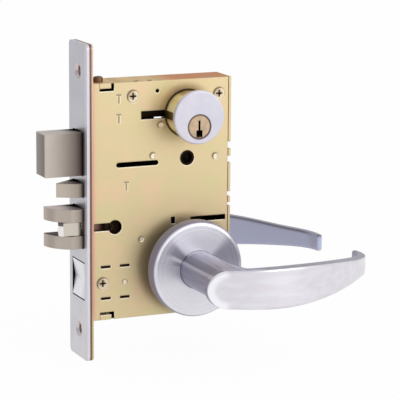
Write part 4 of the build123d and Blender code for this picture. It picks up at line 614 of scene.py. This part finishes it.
def inner_front():
    """The plate behind: brown in the joint, pink to olive along its outer half, and painted shade
    on its window walls.
    """
    material, f = new_finish("passivated_inner_front")
    pink = srgb(206, 160, 138)
    cream = srgb(214, 194, 170)
    olive = srgb(204, 198, 140)
    seam_brown = srgb(112, 78, 70)
    window_shadow = srgb(34, 26, 22)
    hole_brown = srgb(150, 112, 104)
    place, lines, base = stock(f, pink, ALONG_Z, spread=0.08)
    x, y, z = f.parts(place)
    high = z.above(10.0, 70.0)
    base = f.mix(high * 0.6, base, cream)
    low = z.below(-78.0, -66.0)
    base = f.mix(low * 0.85, base, olive)
    seam = x.below(JOINT_X, JOINT_X + 0.35)
    base = f.mix(seam * 0.92, base, seam_brown)
    nx, _, _ = f.facing()
    # Painted shade on the walls of its windows, dark and matt
    across = y.between(FRONT_LOW.y + WINDOW_INSET, FRONT_HIGH.y - WINDOW_INSET, 0.5)
    wall = abs(nx).below(0.3, 0.7) * across * z.between(-INNER_WINDOWS_Z, INNER_WINDOWS_Z, 1.0)
    wall = wall * x.below(INNER_FRONT_BACK_X, INNER_FRONT_BACK_X + 0.3)
    base = f.mix(wall, base, window_shadow)
    hole = front_screw_radius(y, z).below(3.1, 3.4)
    base = f.mix(hole * 0.75, base, hole_brown)
    roughness = (0.42 + swing(lines, 0.12) + wall * 0.3).clipped()
    normal = f.relief(lines, 0.35, depth=0.02, edge_radius=0.35)
    f.surface(
        base_color=base, metallic=0.7, roughness=roughness, normal=normal, hollow=wall * 0.9
    )
    return material


def bolt_steel(name, bolt_tone, plate_shaded, nose, top, reach, pocket_z=None):
    """A bolt's satin steel: its own tone at its end, with painted shade toward the front plate and
    on its nose face.

    reach is how far it stands out, and below pocket_z its upward faces are in shadow.
    """
    material, f = new_finish(name)
    window_shadow = srgb(58, 50, 48)
    case_brown = srgb(128, 92, 84)
    corner_dark = srgb(60, 52, 48)
    place, lines, base = stock(f, bolt_tone, ALONG_X, spread=0.04)
    x, y, z = f.parts(place)
    # Painted shade toward the front plate, at the window and inside the case
    toward_plate = x.above(-reach, 1.0)
    base = f.mix(toward_plate, base, plate_shaded)
    in_window = x.above(-2.2, -0.4)
    base = f.mix(in_window * 0.85, base, window_shadow)
    in_case = x.above(4.0, 6.0)
    base = f.mix(in_case * 0.9, base, case_brown)

    # The nose face: painted shade, darker toward the near side, with a painted highlight on its
    # rim
    nx, _, nz = f.facing()
    ahead = (-nx).above(0.75, 0.97)
    nose_tone = f.mix(y.above(-9.0, 9.0), scaled(nose, 0.58), scaled(nose, 1.6))
    nose_rim = f.edge_mask(1.2).larger(y.above(7.4, 8.3))
    nose_tone = f.mix(nose_rim * 0.7, nose_tone, scaled(bolt_tone, 0.95))
    base = f.mix(ahead * 0.9, base, nose_tone)

    # The top: a painted lighter tone on upward faces, with painted shade toward its far corner and
    # toward the plate
    upward = nz.above(0.5, 0.9)
    base = f.mix(upward * 0.9, base, top)
    far_corner = (x * 0.5 + y).above(-4.0, 9.0) * x.above(-reach, 0.0)
    corner_shade = (far_corner * 0.9 + x.above(-12.0, -2.0) * 0.6).clipped()
    base = f.mix(upward * corner_shade, base, corner_dark)
    worn = f.edge_mask(0.3)
    base = f.mix(worn * 0.35, base, scaled(bolt_tone, 1.25))

    # Shadow on the top at the window, between the latch's cheeks, and deep in the case
    shadow = upward * (x + 0.45 * y).above(-5.0, -0.5)
    if pocket_z is not None:
        shadow = shadow.larger(upward * z.below(pocket_z, pocket_z + 1.0) * 0.8)
    deep = x.above(7.0, 13.0)
    shadow = shadow.larger(deep)
    stroke = f.noise(f.stretched(place, (0.25, 2.0, 5.0)), 1.0, detail=3.0)
    roughness = (0.36 + swing(lines, 0.12) + swing(stroke, 0.08) + upward * 0.25).clipped()
    normal = f.relief(lines, 0.4, depth=0.02, edge_radius=0.3)
    f.surface(
        base_color=base, metallic=0.8, roughness=roughness, normal=normal, hollow=shadow
    )
    return material


def tongue_finish():
    """The polished tongue, with a painted highlight on its nose and painted shade on the chamfer
    at its top.
    """
    material, f = new_finish("polished_tongue")
    steel = srgb(208, 199, 186)
    nose_white = srgb(244, 242, 240)
    chamfer_dark = srgb(60, 54, 56)
    place, lines, base = stock(f, steel, ALONG_Z, spread=0.03)
    x, y, z = f.parts(place)
    # Painted highlight on the nose, and painted shade on the chamfer at its top
    nose = x.below(TONGUE_NOSE_X, TONGUE_NOSE_X + 0.8)
    base = f.mix(nose * 0.9, base, nose_white)
    chamfer = nose * z.above(TONGUE_TOP_Z - 2.4, TONGUE_TOP_Z - 1.6)
    chamfer = chamfer * (x + 0.4 * y).below(TONGUE_NOSE_X - 1.4, TONGUE_NOSE_X - 0.8)
    base = f.mix(chamfer * 0.9, base, chamfer_dark)
    roughness = (0.26 + swing(lines, 0.1)).clipped()
    normal = f.relief(lines, 0.2, depth=0.01, edge_radius=0.3)
    f.surface(base_color=base, metallic=0.75, roughness=roughness, normal=normal)
    return material


def rocker_finish():
    """The bright rocker, a shade greyer toward its near edge."""
    material, f = new_finish("bright_rocker")
    bright = srgb(244, 244, 247)
    near_grey = srgb(206, 206, 214)
    back_brown = srgb(120, 114, 110)
    place, lines, base = stock(f, bright, ALONG_X, spread=0.02)
    x, y, _ = f.parts(place)
    near = y.below(ROCKER_LOW.y + 0.5, ROCKER_LOW.y + 8.0)
    base = f.mix(near * 0.6, base, near_grey)
    # Painted shade on its part behind the front plate
    behind = x.above(3.4, 4.2)
    base = f.mix(behind * 0.8, base, back_brown)
    roughness = (0.30 + swing(lines, 0.08)).clipped()
    normal = f.relief(lines, 0.2, depth=0.008, edge_radius=0.3)
    f.surface(base_color=base, metallic=0.35, roughness=roughness, normal=normal)
    return material


def chromed_head(f, place, x, z, radius):
    """The head's chrome: faint clouds, a lighter rim and a dark ring round the plug."""
    chrome_dark, chrome_light = srgb(198, 197, 208), srgb(206, 202, 211)
    rim_light = srgb(220, 219, 228)
    ring_brown = srgb(84, 66, 60)
    cloud = f.noise(place, 0.12, detail=3.0)
    chrome = f.mix(cloud.above(0.35, 0.65), chrome_dark, chrome_light)
    rim = radius.above(HEAD_RIM_RADIUS, HEAD_RIM_RADIUS + 1.0)
    chrome = f.mix(rim * 0.4, chrome, rim_light)
    plug_r = radius_from(x, z, flat(PLUG_AXIS))
    ring = plug_r.below(PLUG_RADIUS + 0.45, PLUG_RADIUS + 0.95)
    return f.mix(ring * 0.85, chrome, ring_brown)


def brass_body(f, x, y, z, radius, rings):
    """The body's brass: painted bands of shade and painted glints along it, where a polished round
    bar would show reflections.
    """
    brass_low, brass_high = srgb(248, 204, 116), srgb(255, 232, 158)
    ring_brass = srgb(226, 194, 130)
    shade_brown = srgb(128, 90, 40)
    glint_cream = srgb(255, 244, 190)
    mouth_brown = srgb(92, 64, 30)
    groove_brown = srgb(104, 76, 36)
    turn = math.pi + turn_round(CYLINDER_AXIS.z - z, CYLINDER_AXIS.x - x)
    along = f.joined((x - CYLINDER_AXIS.x) * 0.12, y * 0.02, z * 0.12)
    streaks = f.noise(along, 1.0, detail=2.0)
    brass = f.mix(streaks.above(0.30, 0.70), brass_low, brass_high)
    brass = f.mix(rings.above(0.35, 0.65) * 0.3, brass, ring_brass)
    # Painted shade bands and painted glints, by the angle round the axis
    shade = turn.between(1.50, 1.92, 0.3) + turn.between(3.10, 3.30, 0.2)
    shade = shade + turn.between(4.10, 4.60, 0.3)
    brass = f.mix(shade * 0.6, brass, shade_brown)
    glints = turn.between(2.66, 2.90, 0.22) + turn.between(2.20, 2.30, 0.18) * 0.7
    glints = glints + turn.between(3.60, 3.72, 0.2) * 0.6 + turn.between(0.5, 0.8, 0.2)
    brass = f.mix(glints * 0.9, brass, glint_cream)
    mouth = y.above(CASE_LOW.y - 2.0, CASE_LOW.y)
    brass = f.mix(mouth * 0.75, brass, mouth_brown)
    groove = radius.below(THREAD_ROOT_RADIUS, THREAD_ROOT_RADIUS + 0.7)
    return f.mix(groove * 0.8, brass, groove_brown)


def cylinder_finish():
    """A chromed satin head on a polished brass body."""
    material, f = new_finish("chromed_head_and_brass_body")
    place = f.place()
    x, y, z = f.parts(place)
    radius = radius_from(x, z, flat(CYLINDER_AXIS))
    rings = f.noise(f.joined(radius * 2.2, y * 2.2, 0.0), 1.0, detail=4.0, rough=0.65)
    chrome = chromed_head(f, place, x, z, radius)
    brass = brass_body(f, x, y, z, radius, rings)
    head = y.below(HEAD_LOW.y + HEAD_THICK - 0.9, HEAD_LOW.y + HEAD_THICK - 0.5)
    base = f.mix(head, brass, chrome)
    roughness = (0.36 + 0.02 * head + swing(rings, 0.10)).clipped()
    normal = f.relief(rings, 0.4, depth=0.010, edge_radius=0.4)
    f.surface(base_color=base, metallic=0.35 + 0.25 * head, roughness=roughness, normal=normal)
    return material


def plug_finish():
    """The plug's worn nickel over brass, dark at its rim, with painted shade inside the keyway."""
    material, f = new_finish("satin_plug")
    nickel = srgb(176, 158, 130)
    worn_through = srgb(204, 170, 144)
    ring_olive = srgb(172, 156, 126)
    rim_brown = srgb(98, 80, 66)
    keyway_dark = srgb(34, 20, 16)
    rubbed = srgb(236, 214, 200)
    place = f.place()
    x, y, z = f.parts(place)
    radius = radius_from(x, z, flat(PLUG_AXIS))
    rings = f.noise(f.joined(radius * 2.6, y, 0.0), 1.0, detail=4.0, rough=0.65)
    cloud = f.noise(place, 0.35, detail=3.0).above(0.4, 0.65)
    base = f.mix(cloud, nickel, worn_through)
    base = f.mix(rings.above(0.35, 0.65) * 0.3, base, ring_olive)
    rim = radius.above(PLUG_RADIUS - 0.9, PLUG_RADIUS - 0.2)
    base = f.mix(rim * 0.8, base, rim_brown)
    # Painted shade inside the keyway, dark and matt
    sunk = y.above(PLUG_LOW.y + 0.15, PLUG_LOW.y + 0.9)
    base = f.mix(sunk, base, keyway_dark)
    worn = f.edge_mask(0.35)
    base = f.mix(worn * 0.5 * (1.0 - sunk), base, rubbed)
    roughness = (0.34 + swing(rings, 0.12) + sunk * 0.2).clipped()
    normal = f.relief(rings, 0.4, depth=0.012, edge_radius=0.3)
    f.surface(base_color=base, metallic=0.75, roughness=roughness, normal=normal, hollow=sunk)
    return material


def lever_neck(f, x, y, z, dull_and_neck_shade):
    """The neck: painted shade with streaks along it, a painted highlight between two painted shade
    bands on its upper left, and a painted highlight at its root.
    """
    glint_light = srgb(208, 205, 214)
    root_light = srgb(232, 230, 236)
    turn = turn_round(z - LEVER_AXIS.z, x - LEVER_AXIS.x)
    streaks = f.noise(f.joined(turn * 2.6, 4.0, y * 0.012), 1.0, detail=3.0)
    fine = f.noise(f.joined(turn * 16.0, 1.0, y * 0.03), 1.0, detail=3.0)
    neck = f.mix(streaks.above(0.36, 0.64), scaled(dull_and_neck_shade, 0.78), scaled(dull_and_neck_shade, 1.32))
    neck = f.mix(fine.above(0.3, 0.7) * 0.35, neck, scaled(dull_and_neck_shade, 1.35))
    over_glint = turn.between(2.20, 2.52, 0.12)
    under_glint = turn.above(2.80, 2.95) + turn.below(-2.7, -2.2)
    dark_beside = (over_glint * 0.70 + under_glint * 0.35).clipped()
    neck = f.mix(dark_beside, neck, scaled(dull_and_neck_shade, 0.60))
    glint = turn.between(2.62, 2.70, 0.08)
    neck = f.mix(glint * 0.75, neck, glint_light)
    root = abs(y).below(ROSE_FACE_Y + 1.2, ROSE_FACE_Y + 2.8)
    return f.mix(root * turn.between(1.0, 2.1, 0.25) * 0.85, neck, root_light)


def lever_back(f, x, hair, back):
    """The side toward the door: plain along its root, with painted shade toward its end and over
    its top bend.
    """
    tone = f.mix((hair - 0.3).clipped(), back, scaled(back, 0.86))
    far_end = x.above(LEVER_AXIS.x + 30.0, LEVER_AXIS.x + 62.0)
    tone = f.mix(far_end, tone, scaled(back, 0.78))
    _, _, bend_z = f.parts(f.soft_edges(3.0))
    return f.mix(bend_z.above(0.08, 0.34) * 0.95, tone, scaled(back, 0.20))


def lever_finish(name, side, bright, dull_and_neck_shade, back):
    """A lever: brushed lengthwise on its show face, with painted shade on its neck, its top and
    bottom faces and its back, and painted highlights at its hub end and its tip.

    side is the way along Y that its show face looks.
    """
    material, f = new_finish(name)
    drift_pink = srgb(224, 214, 222)
    crescent_white = srgb(250, 249, 253)
    edge_grey = srgb(142, 138, 146)
    tip_white = srgb(255, 254, 255)
    place, lines, base = stock(f, bright, ALONG_X, spread=0.03)
    x, y, z = f.parts(place)
    hair = f.noise(f.stretched(place, (0.05, 5.0, 5.0)), 1.0, detail=4.0, rough=0.7)
    base = f.mix((hair - 0.35).clipped() * 1.4, base, scaled(bright, 0.86))
    drift = f.noise(f.stretched(place, (0.035, 0.22, 0.22)), 1.0, detail=3.0)
    base = f.mix(drift.above(0.42, 0.62) * 0.5, base, scaled(bright, 1.10))
    base = f.mix(drift.below(0.40, 0.52) * 0.35, base, drift_pink)
    # Painted highlight: a crescent round the end by the hub
    end_r = radius_from(x, z, (LEVER_AXIS.x - 5.0, LEVER_AXIS.z))
    crescent = end_r.above(6.2, 9.8) * x.below(LEVER_AXIS.x - 8.0, LEVER_AXIS.x - 3.0)
    base = f.mix(crescent * 0.9, base, crescent_white)

    nx, ny, nz = f.facing()
    out = ny * float(side)
    neck_side = out.below(0.15, 0.55)
    base = f.mix(neck_side, base, lever_neck(f, x, y, z, dull_and_neck_shade))
    behind = (-out).above(0.2, 0.5)
    base = f.mix(behind, base, lever_back(f, x, hair, back))
    # Painted shade on the top and bottom faces, and a painted highlight on the tip
    edge = (1.0 - abs(nz)).below(0.1, 0.4) * x.above(LEVER_AXIS.x + 14.0, LEVER_AXIS.x + 20.0)
    base = f.mix(edge * 0.8, base, edge_grey)
    tip = nx.above(0.55, 0.85) * x.above(LEVER_TIP_X - 8.0, LEVER_TIP_X - 5.0)
    base = f.mix(tip * 0.9, base, tip_white)
    worn = f.edge_mask(0.4)
    base = f.mix(worn * 0.4 * out.above(0.1, 0.6), base, scaled(bright, 1.15))
    shade = (neck_side + behind).clipped()
    roughness = (0.33 + swing(lines, 0.12) + shade * 0.08).clipped()
    normal = f.relief(lines, 0.3, depth=0.012, edge_radius=0.4)
    f.surface(
        base_color=base, metallic=1.0 - 0.75 * shade, roughness=roughness, normal=normal
    )
    return material


def rose_finish():
    """A turned rose: rings round its axis, painted wedges of light and shade across them, painted
    shade on its outer wall and a painted highlight on its rim.
    """
    material, f = new_finish("turned_rose")
    ring_low, ring_high = srgb(204, 202, 208), srgb(226, 224, 230)
    drawn_grey = srgb(210, 207, 216)
    wedge_light = srgb(240, 238, 244)
    upper_white = srgb(246, 245, 250)
    right_grey = srgb(156, 153, 168)
    above_grey = srgb(142, 138, 152)
    below_grey = srgb(134, 130, 146)
    wall_grey = srgb(140, 137, 158)
    rim_white = srgb(248, 247, 252)
    place = f.place()
    x, y, z = f.parts(place)
    radius = radius_from(x, z, flat(LEVER_AXIS))
    turn = turn_round(z - LEVER_AXIS.z, x - LEVER_AXIS.x)
    rings = f.noise(f.joined(radius * 2.4, y * 2.0, 0.0), 1.0, detail=4.0, rough=0.65)
    drawn = f.noise(f.joined(radius * 0.9, turn * 0.9, 0.0), 1.0, detail=3.0)
    face = f.mix(rings.above(0.3, 0.7), ring_low, ring_high)
    face = f.mix(drawn.above(0.4, 0.7) * 0.5, face, drawn_grey)
    # Painted light and shade across the face: lighter wedges above and below, a shaded wedge on
    # the right, and the neck's painted reflection, a light line between two shaded ones
    upper = turn.between(0.9, 2.15, 0.3)
    lower = turn.between(-2.6, -0.7, 0.5)
    right = turn.between(-0.15, 0.55, 0.35)
    above_line = turn.between(2.40, 2.58, 0.16) * radius.below(20.0, 29.0)
    line = turn.between(2.64, 2.69, 0.06) * radius.below(18.0, 25.0)
    below_line = turn.between(2.80, 2.86, 0.10) * radius.below(14.0, 23.0)
    face = f.mix(lower * 0.60, face, wedge_light)
    face = f.mix(upper * 0.75, face, upper_white)
    face = f.mix(right * 0.80, face, right_grey)
    face = f.mix(above_line * 0.75, face, above_grey)
    face = f.mix(below_line * 0.6, face, below_grey)
    face = f.mix(line * 0.75, face, wedge_light)
    # Painted shade on the outer wall and a painted highlight on the rim, brightest on the upper
    # left
    wall = radius.above(ROSE_RADIUS - 1.1, ROSE_RADIUS - 0.5)
    face = f.mix(wall, face, wall_grey)
    rim = radius.between(ROSE_RADIUS - 2.4, ROSE_RADIUS - 1.5, 0.6)
    face = f.mix(rim * (0.22 + 0.6 * turn.between(2.35, 2.75, 0.2)), face, rim_white)
    roughness = (0.26 + swing(rings, 0.12) + wall * 0.12).clipped()
    normal = f.relief(rings, 0.5, depth=0.014, edge_radius=0.4)
    f.surface(base_color=face, metallic=0.55 - 0.35 * wall, roughness=roughness, normal=normal)
    return material


def cover_screw_finish():
    """A zinc screw sunk in the cover: painted shade in its cross and where it sinks below the
    cover, a dull middle, a painted highlight on one side of its rim, painted shade round the other
    side, and a dark outer ring.
    """
    material, f = new_finish("cover_screw_zinc")
    zinc_grey = srgb(206, 188, 158)
    middle_dull = srgb(160, 142, 122)
    rim_light = srgb(232, 218, 190)
    lean_brown = srgb(108, 84, 58)
    ring_brown = srgb(104, 82, 58)
    cross_dark = srgb(44, 30, 26)
    sunk_dark = srgb(74, 56, 46)
    place, lines, base = stock(f, zinc_grey, ALL_WAYS, spread=0.08)
    x, y, z = f.parts(place)
    radius = nearest_radius(x, z, COVER_SCREWS)
    # Painted highlight on one side of the rim and painted shade round the other side
    lit = nearest_radius(x + 0.9, z - 0.7, COVER_SCREWS)
    base = f.mix(radius.below(1.6, 3.0) * 0.55, base, middle_dull)
    base = f.mix(lit.between(2.9, 4.4, 0.6) * 0.55, base, rim_light)
    lean = nearest_radius(x - 0.9, z + 0.7, COVER_SCREWS)
    base = f.mix(lean.above(3.6, 4.4) * 0.8, base, lean_brown)
    base = f.mix(radius.above(3.7, 3.95) * 0.45, base, ring_brown)
    # Painted shade in the cross recess
    for centre in COVER_SCREWS:
        arm = abs(x - centre[0]).smaller(abs(z - centre[1])).below(0.35, 0.9)
        cross = arm * radius_from(x, z, centre).below(0.9, 1.6)
        base = f.mix(cross * 0.95, base, cross_dark)
    # Painted shade where the screw sinks below the cover's face
    sunk = y.above(CASE_LOW.y, CASE_LOW.y + 0.5)
    base = f.mix(sunk, base, sunk_dark)
    roughness = (0.38 + swing(lines, 0.14)).clipped()
    normal = f.relief(lines, 0.35, depth=0.02, edge_radius=0.3)
    f.surface(
        base_color=base, metallic=0.7, roughness=roughness, normal=normal, hollow=sunk * 0.7
    )
    return material


def rivet_finish():
    """A peened rivet end: a painted highlight in its dished middle, in a ring with painted shade
    on one side.
    """
    material, f = new_finish("peened_rivet_zinc")
    zinc_light = srgb(222, 206, 174)
    middle_bright = srgb(244, 236, 220)
    ring_brown = srgb(126, 100, 66)
    place, lines, base = stock(f, zinc_light, ALL_WAYS, spread=0.05)
    x, _, z = f.parts(place)
    centres = (*RIVETS, PRESSED_DIMPLE)
    radius = nearest_radius(x, z, centres)
    # Painted highlight in the middle and painted shade on one side of the ring
    base = f.mix(radius.below(0.7, 1.6) * 0.7, base, middle_bright)
    lean = nearest_radius(x - 0.55, z + 0.45, centres)
    base = f.mix(lean.above(1.7, 2.4) * radius.above(1.1, 1.6) * 0.7, base, ring_brown)
    roughness = (0.30 + swing(lines, 0.14)).clipped()
    normal = f.relief(lines, 0.3, depth=0.02, edge_radius=0.2)
    f.surface(base_color=base, metallic=0.55, roughness=roughness, normal=normal)
    return material


def floor_finish():
    """White paper to the camera and in reflections, and matt where the lock's shadow falls."""
    material, f = new_finish("white_floor")
    camera, mirror, glass = (
        f.node("ShaderNodeLightPath", output=kind)
        for kind in ("Is Camera Ray", "Is Glossy Ray", "Is Transmission Ray")
    )
    seen = (camera + mirror + glass).clipped()
    paper = f.noise(f.place(), 0.002, detail=2.0)
    colour = f.mix(paper, FLOOR_PALE, FLOOR_PALEST)
    matt = f.node("ShaderNodeBsdfDiffuse", sockets={"Color": colour})
    glow = f.node("ShaderNodeEmission", sockets={"Color": WHITE, "Strength": 1.0})
    mixed = f.node("ShaderNodeMixShader", sockets={0: seen * FLOOR_GLOW, 1: matt, 2: glow})
    f.node("ShaderNodeOutputMaterial", sockets={"Surface": mixed})
    return material


zinc = zinc_sheet()
front_satin = front_plate()
inner_front_zinc = inner_front()
deadbolt_steel = bolt_steel(
    "deadbolt_steel",
    bolt_tone=srgb(188, 178, 169),
    plate_shaded=srgb(104, 92, 84),
    nose=srgb(108, 98, 88),
    top=srgb(208, 200, 190),
    reach=27.0,
)
latch_steel = bolt_steel(
    "latch_steel",
    bolt_tone=srgb(192, 180, 168),
    plate_shaded=srgb(172, 160, 148),
    nose=srgb(150, 140, 130),
    top=srgb(220, 206, 200),
    reach=20.0,
    pocket_z=LATCH_Z,
)
guard_steel = bolt_steel(
    "guard_bolt_steel",
    bolt_tone=srgb(198, 187, 173),
    plate_shaded=srgb(160, 146, 134),
    nose=srgb(150, 140, 130),
    top=srgb(214, 204, 192),
    reach=14.0,
)
tongue_polish = tongue_finish()
rocker_chrome = rocker_finish()
cylinder_two_tone = cylinder_finish()
plug_nickel = plug_finish()
lever_outside = lever_finish(
    "satin_outside_lever",
    side=-1,
    bright=srgb(222, 220, 226),
    dull_and_neck_shade=srgb(156, 154, 174),
    back=srgb(158, 160, 178),
)
# Its back is tinted blue as a painted reflection
lever_inside = lever_finish(
    "satin_inside_lever",
    side=1,
    bright=srgb(229, 228, 235),
    dull_and_neck_shade=srgb(170, 171, 192),
    back=srgb(204, 211, 238),
)
rose_turned = rose_finish()
cover_screw_zinc = cover_screw_finish()
rivet_zinc = rivet_finish()
dark_oxide = satin(
    "dark_oxide_screw", srgb(120, 92, 70), 0.34, ALL_WAYS, spread=0.18, metallic=0.8
)
screw_zinc = satin("zinc_screw", srgb(206, 196, 170), 0.32, ALL_WAYS, spread=0.08)
spring_wire = satin("spring_wire", srgb(160, 158, 160), 0.28, ALL_WAYS)
plain_steel = satin("plain_steel", srgb(120, 112, 102), 0.40, ALONG_X, tarnish=srgb(92, 80, 68))
# Inner pieces, seen only in shade, painted near black
shaded_inner_steel = satin("inner_steel_painted_shade", srgb(40, 30, 24), 0.42, ALL_WAYS, spread=0.2)
bronze = satin("sintered_bronze", srgb(176, 136, 92), 0.50, ALL_WAYS, spread=0.12)

SLOT_FINISHES = {
    "zinc_sheet": zinc,
    "satin_front": front_satin,
    "plated_inner_front": inner_front_zinc,
    "satin_bolt": latch_steel,
    "polished_tongue": tongue_polish,
    "bright_rocker": rocker_chrome,
    "cylinder_brass": cylinder_two_tone,
    "plug_brass": plug_nickel,
    "satin_lever": lever_outside,
    "satin_lever_inside": lever_inside,
    "dark_screws": dark_oxide,
    "plated_screws": screw_zinc,
    "spring_steel": spring_wire,
    "inner_steel": plain_steel,
    "bush_bronze": bronze,
}
NODE_FINISHES = {
    "outside_rose": rose_turned,
    "inside_rose": rose_turned,
    "deadbolt": deadbolt_steel,
    "guard_bolt": guard_steel,
    "cover_screws": cover_screw_zinc,
    "bracket_screw": cover_screw_zinc,
    "case_rivets": rivet_zinc,
    "turn_hub": shaded_inner_steel,
    "throw_lever": shaded_inner_steel,
    "cylinder_clamp": shaded_inner_steel,
    "clamp_screw": shaded_inner_steel,
    "latch_screw": shaded_inner_steel,
    "latch_tail": shaded_inner_steel,
    "stop_bracket": shaded_inner_steel,
    "deadbolt_tail": shaded_inner_steel,
    "guard_tail": shaded_inner_steel,
    "outside_hub": shaded_inner_steel,
}


def dress_nodes():
    """Puts each piece's finish in place of the plain colour of its slot."""
    for name, piece in frame["nodes"].items():
        for holder in piece.material_slots:
            slot = holder.material.name.split(".")[0]
            holder.material = NODE_FINISHES.get(name) or SLOT_FINISHES[slot]


def join_rings(mesh, rings):
    """Joins rings of points, each to the next, into one closed skin."""
    for lower, upper in zip(rings, rings[1:]):
        for step in range(len(lower)):
            after = (step + 1) % len(lower)
            mesh.faces.new((lower[step], lower[after], upper[after], upper[step]))
    mesh.faces.new(rings[0])
    mesh.faces.new(list(reversed(rings[-1])))


def as_piece(name, mesh, finish):
    """A smooth piece in the scene, made of a finished mesh."""
    bmesh.ops.recalc_face_normals(mesh, faces=mesh.faces)
    data = bpy.data.meshes.new(name)
    mesh.to_mesh(data)
    mesh.free()
    data.shade_smooth()
    data.materials.append(finish)
    piece = bpy.data.objects.new(name, data)
    bpy.context.scene.collection.objects.link(piece)
    return piece


def turned_mesh(centres, profile, face_y, side):
    """Rings turned round axes along Y: the profile gives radius and height over the face."""
    mesh = bmesh.new()
    for centre_x, centre_z in centres:
        rings = []
        for radius, height in profile:
            ring = []
            for step in range(TURNED_STEPS):
                angle = 2 * math.pi * step / TURNED_STEPS
                point = (
                    (centre_x + radius * math.cos(angle)) * MM,
                    (face_y + side * height) * MM,
                    (centre_z + radius * math.sin(angle)) * MM,
                )
                ring.append(mesh.verts.new(point))
            rings.append(ring)
        join_rings(mesh, rings)
    return mesh


def wound_mesh(low, high, turns):
    """A coil of round wire, wound evenly along X in the box from low to high."""
    middle_y, middle_z = (low.y + high.y) / 2, (low.z + high.z) / 2
    coil_radius = (high.y - low.y) / 2 - WIRE_RADIUS
    start_x, length = low.x + WIRE_RADIUS, high.x - low.x - 2 * WIRE_RADIUS
    rise = length / (2 * math.pi * turns)
    mesh = bmesh.new()
    rings = []
    for step in range(turns * COIL_STEPS + 1):
        angle = 2 * math.pi * step / COIL_STEPS
        outward = Vector((0, math.cos(angle), math.sin(angle)))
        along = Vector((rise, -coil_radius * outward.z, coil_radius * outward.y))
        across = along.normalized().cross(outward)
        centre = Vector((start_x + rise * angle, middle_y, middle_z)) + coil_radius * outward
        ring = []
        for corner in range(WIRE_SIDES):
            turn = 2 * math.pi * corner / WIRE_SIDES
            edge = math.cos(turn) * outward + math.sin(turn) * across
            ring.append(mesh.verts.new((centre + WIRE_RADIUS * edge) * MM))
        rings.append(ring)
    join_rings(mesh, rings)
    return mesh


def peen_rivets():
    """The rivet ends peened over on both sides of the case, and the cover's pressed dimple."""
    for side, name in ((-1, "outer_rivet_ends"), (1, "inner_rivet_ends")):
        face_y = CASE_LOW.y - RIVET_PROUD if side < 0 else CASE_HIGH.y + RIVET_PROUD
        ends = as_piece(name, turned_mesh(RIVETS, PEENED_PROFILE, face_y, side), rivet_zinc)
        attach(ends, "case")
    pressed = turned_mesh((PRESSED_DIMPLE,), DIMPLE_PROFILE, CASE_LOW.y, -1)
    dimple = as_piece("pressed_dimple", pressed, rivet_zinc)
    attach(dimple, "case")


def fold_springs():
    """The two bolts' springs, wound as coils of wire in place of their plain pieces."""
    travel = {joint["name"]: joint.get("range_m", (0, 0))[1] / MM for joint in frame["joints"]}
    for name, joint, turns in BOLT_SPRINGS:
        low, high = box_mm(name)
        coil = as_piece(name + "_coil", wound_mesh(low, high, turns), spring_wire)
        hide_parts(name)
        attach(coil, "case")
        keep = 1 - (travel[joint] + SPRING_SLACK) / (high.x - low.x)
        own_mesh(coil)


def lay_floor():
    """A round white floor that fills the view, level with the front plate's foot."""
    lowest = cad_box[0].z
    ring = []
    for step in range(FLOOR_SIDES):
        angle = 2 * math.pi * step / FLOOR_SIDES
        ring.append((FLOOR_RADIUS * math.cos(angle), FLOOR_RADIUS * math.sin(angle), lowest))
    mesh = bpy.data.meshes.new("floor")
    mesh.from_pydata(ring, [], [tuple(range(FLOOR_SIDES))])
    mesh.materials.append(floor_finish())
    floor = bpy.data.objects.new("floor", mesh)
    bpy.context.scene.collection.objects.link(floor)


def light_room():
    """A pale room, a little dimmer on the left, which the lock's metal mirrors."""
    world = bpy.data.worlds.new("pale_room")
    world.use_nodes = True
    f = Finish(world.node_tree)
    x, _, z = f.parts(f.node("ShaderNodeTexCoord", output="Generated"))
    room = f.mix((-x).above(0.1, 0.9), ROOM_RIGHT, ROOM_LEFT)
    room = f.mix(z.above(0.25, 0.85), room, ROOM_OVERHEAD)
    seen = f.node("ShaderNodeLightPath", output="Is Camera Ray")
    colour = f.mix(seen, room, WHITE)
    sky = f.node("ShaderNodeBackground", sockets={"Color": colour, "Strength": 1.0})
    f.node("ShaderNodeOutputWorld", sockets={"Surface": sky})
    bpy.context.scene.world = world


def hang_lamp():
    """One wide, soft lamp, above the near side of the lock and to its right."""
    lamp = bpy.data.lights.new("key_lamp", "AREA")
    lamp.shape = "DISK"
    lamp.size = LAMP_WIDTH
    lamp.energy = LAMP_WATTS
    holder = bpy.data.objects.new("key_lamp", lamp)
    holder.location = LAMP_PLACE
    holder.rotation_euler = (LAMP_AIM - LAMP_PLACE).to_track_quat("-Z", "Y").to_euler()
    bpy.context.scene.collection.objects.link(holder)


def set_camera():
    """The camera, to the left of the cover and above, leaning a little."""
    back = Vector(
        (
            math.sin(VIEW_AZIMUTH) * math.cos(VIEW_ELEVATION),
            -math.cos(VIEW_AZIMUTH) * math.cos(VIEW_ELEVATION),
            math.sin(VIEW_ELEVATION),
        )
    )
    level_right = (-back).cross(Vector((0, 0, 1))).normalized()
    level_up = level_right.cross(-back)
    right = math.cos(VIEW_ROLL) * level_right + math.sin(VIEW_ROLL) * level_up
    up = -math.sin(VIEW_ROLL) * level_right + math.cos(VIEW_ROLL) * level_up
    turn = Matrix((right, up, back)).transposed().to_4x4()
    data = bpy.data.cameras.new("camera")
    data.lens = VIEW_LENS
    data.sensor_width = SENSOR_WIDTH
    data.clip_end = VIEW_REACH
    camera = bpy.data.objects.new("camera", data)
    camera.matrix_world = Matrix.Translation(VIEW_TARGET + back * VIEW_DISTANCE) @ turn
    bpy.context.scene.collection.objects.link(camera)
    bpy.context.scene.camera = camera


dress_nodes()
peen_rivets()
fold_springs()
lay_floor()
light_room()
hang_lamp()
set_camera()
bpy.context.scene.view_settings.view_transform = "Standard"
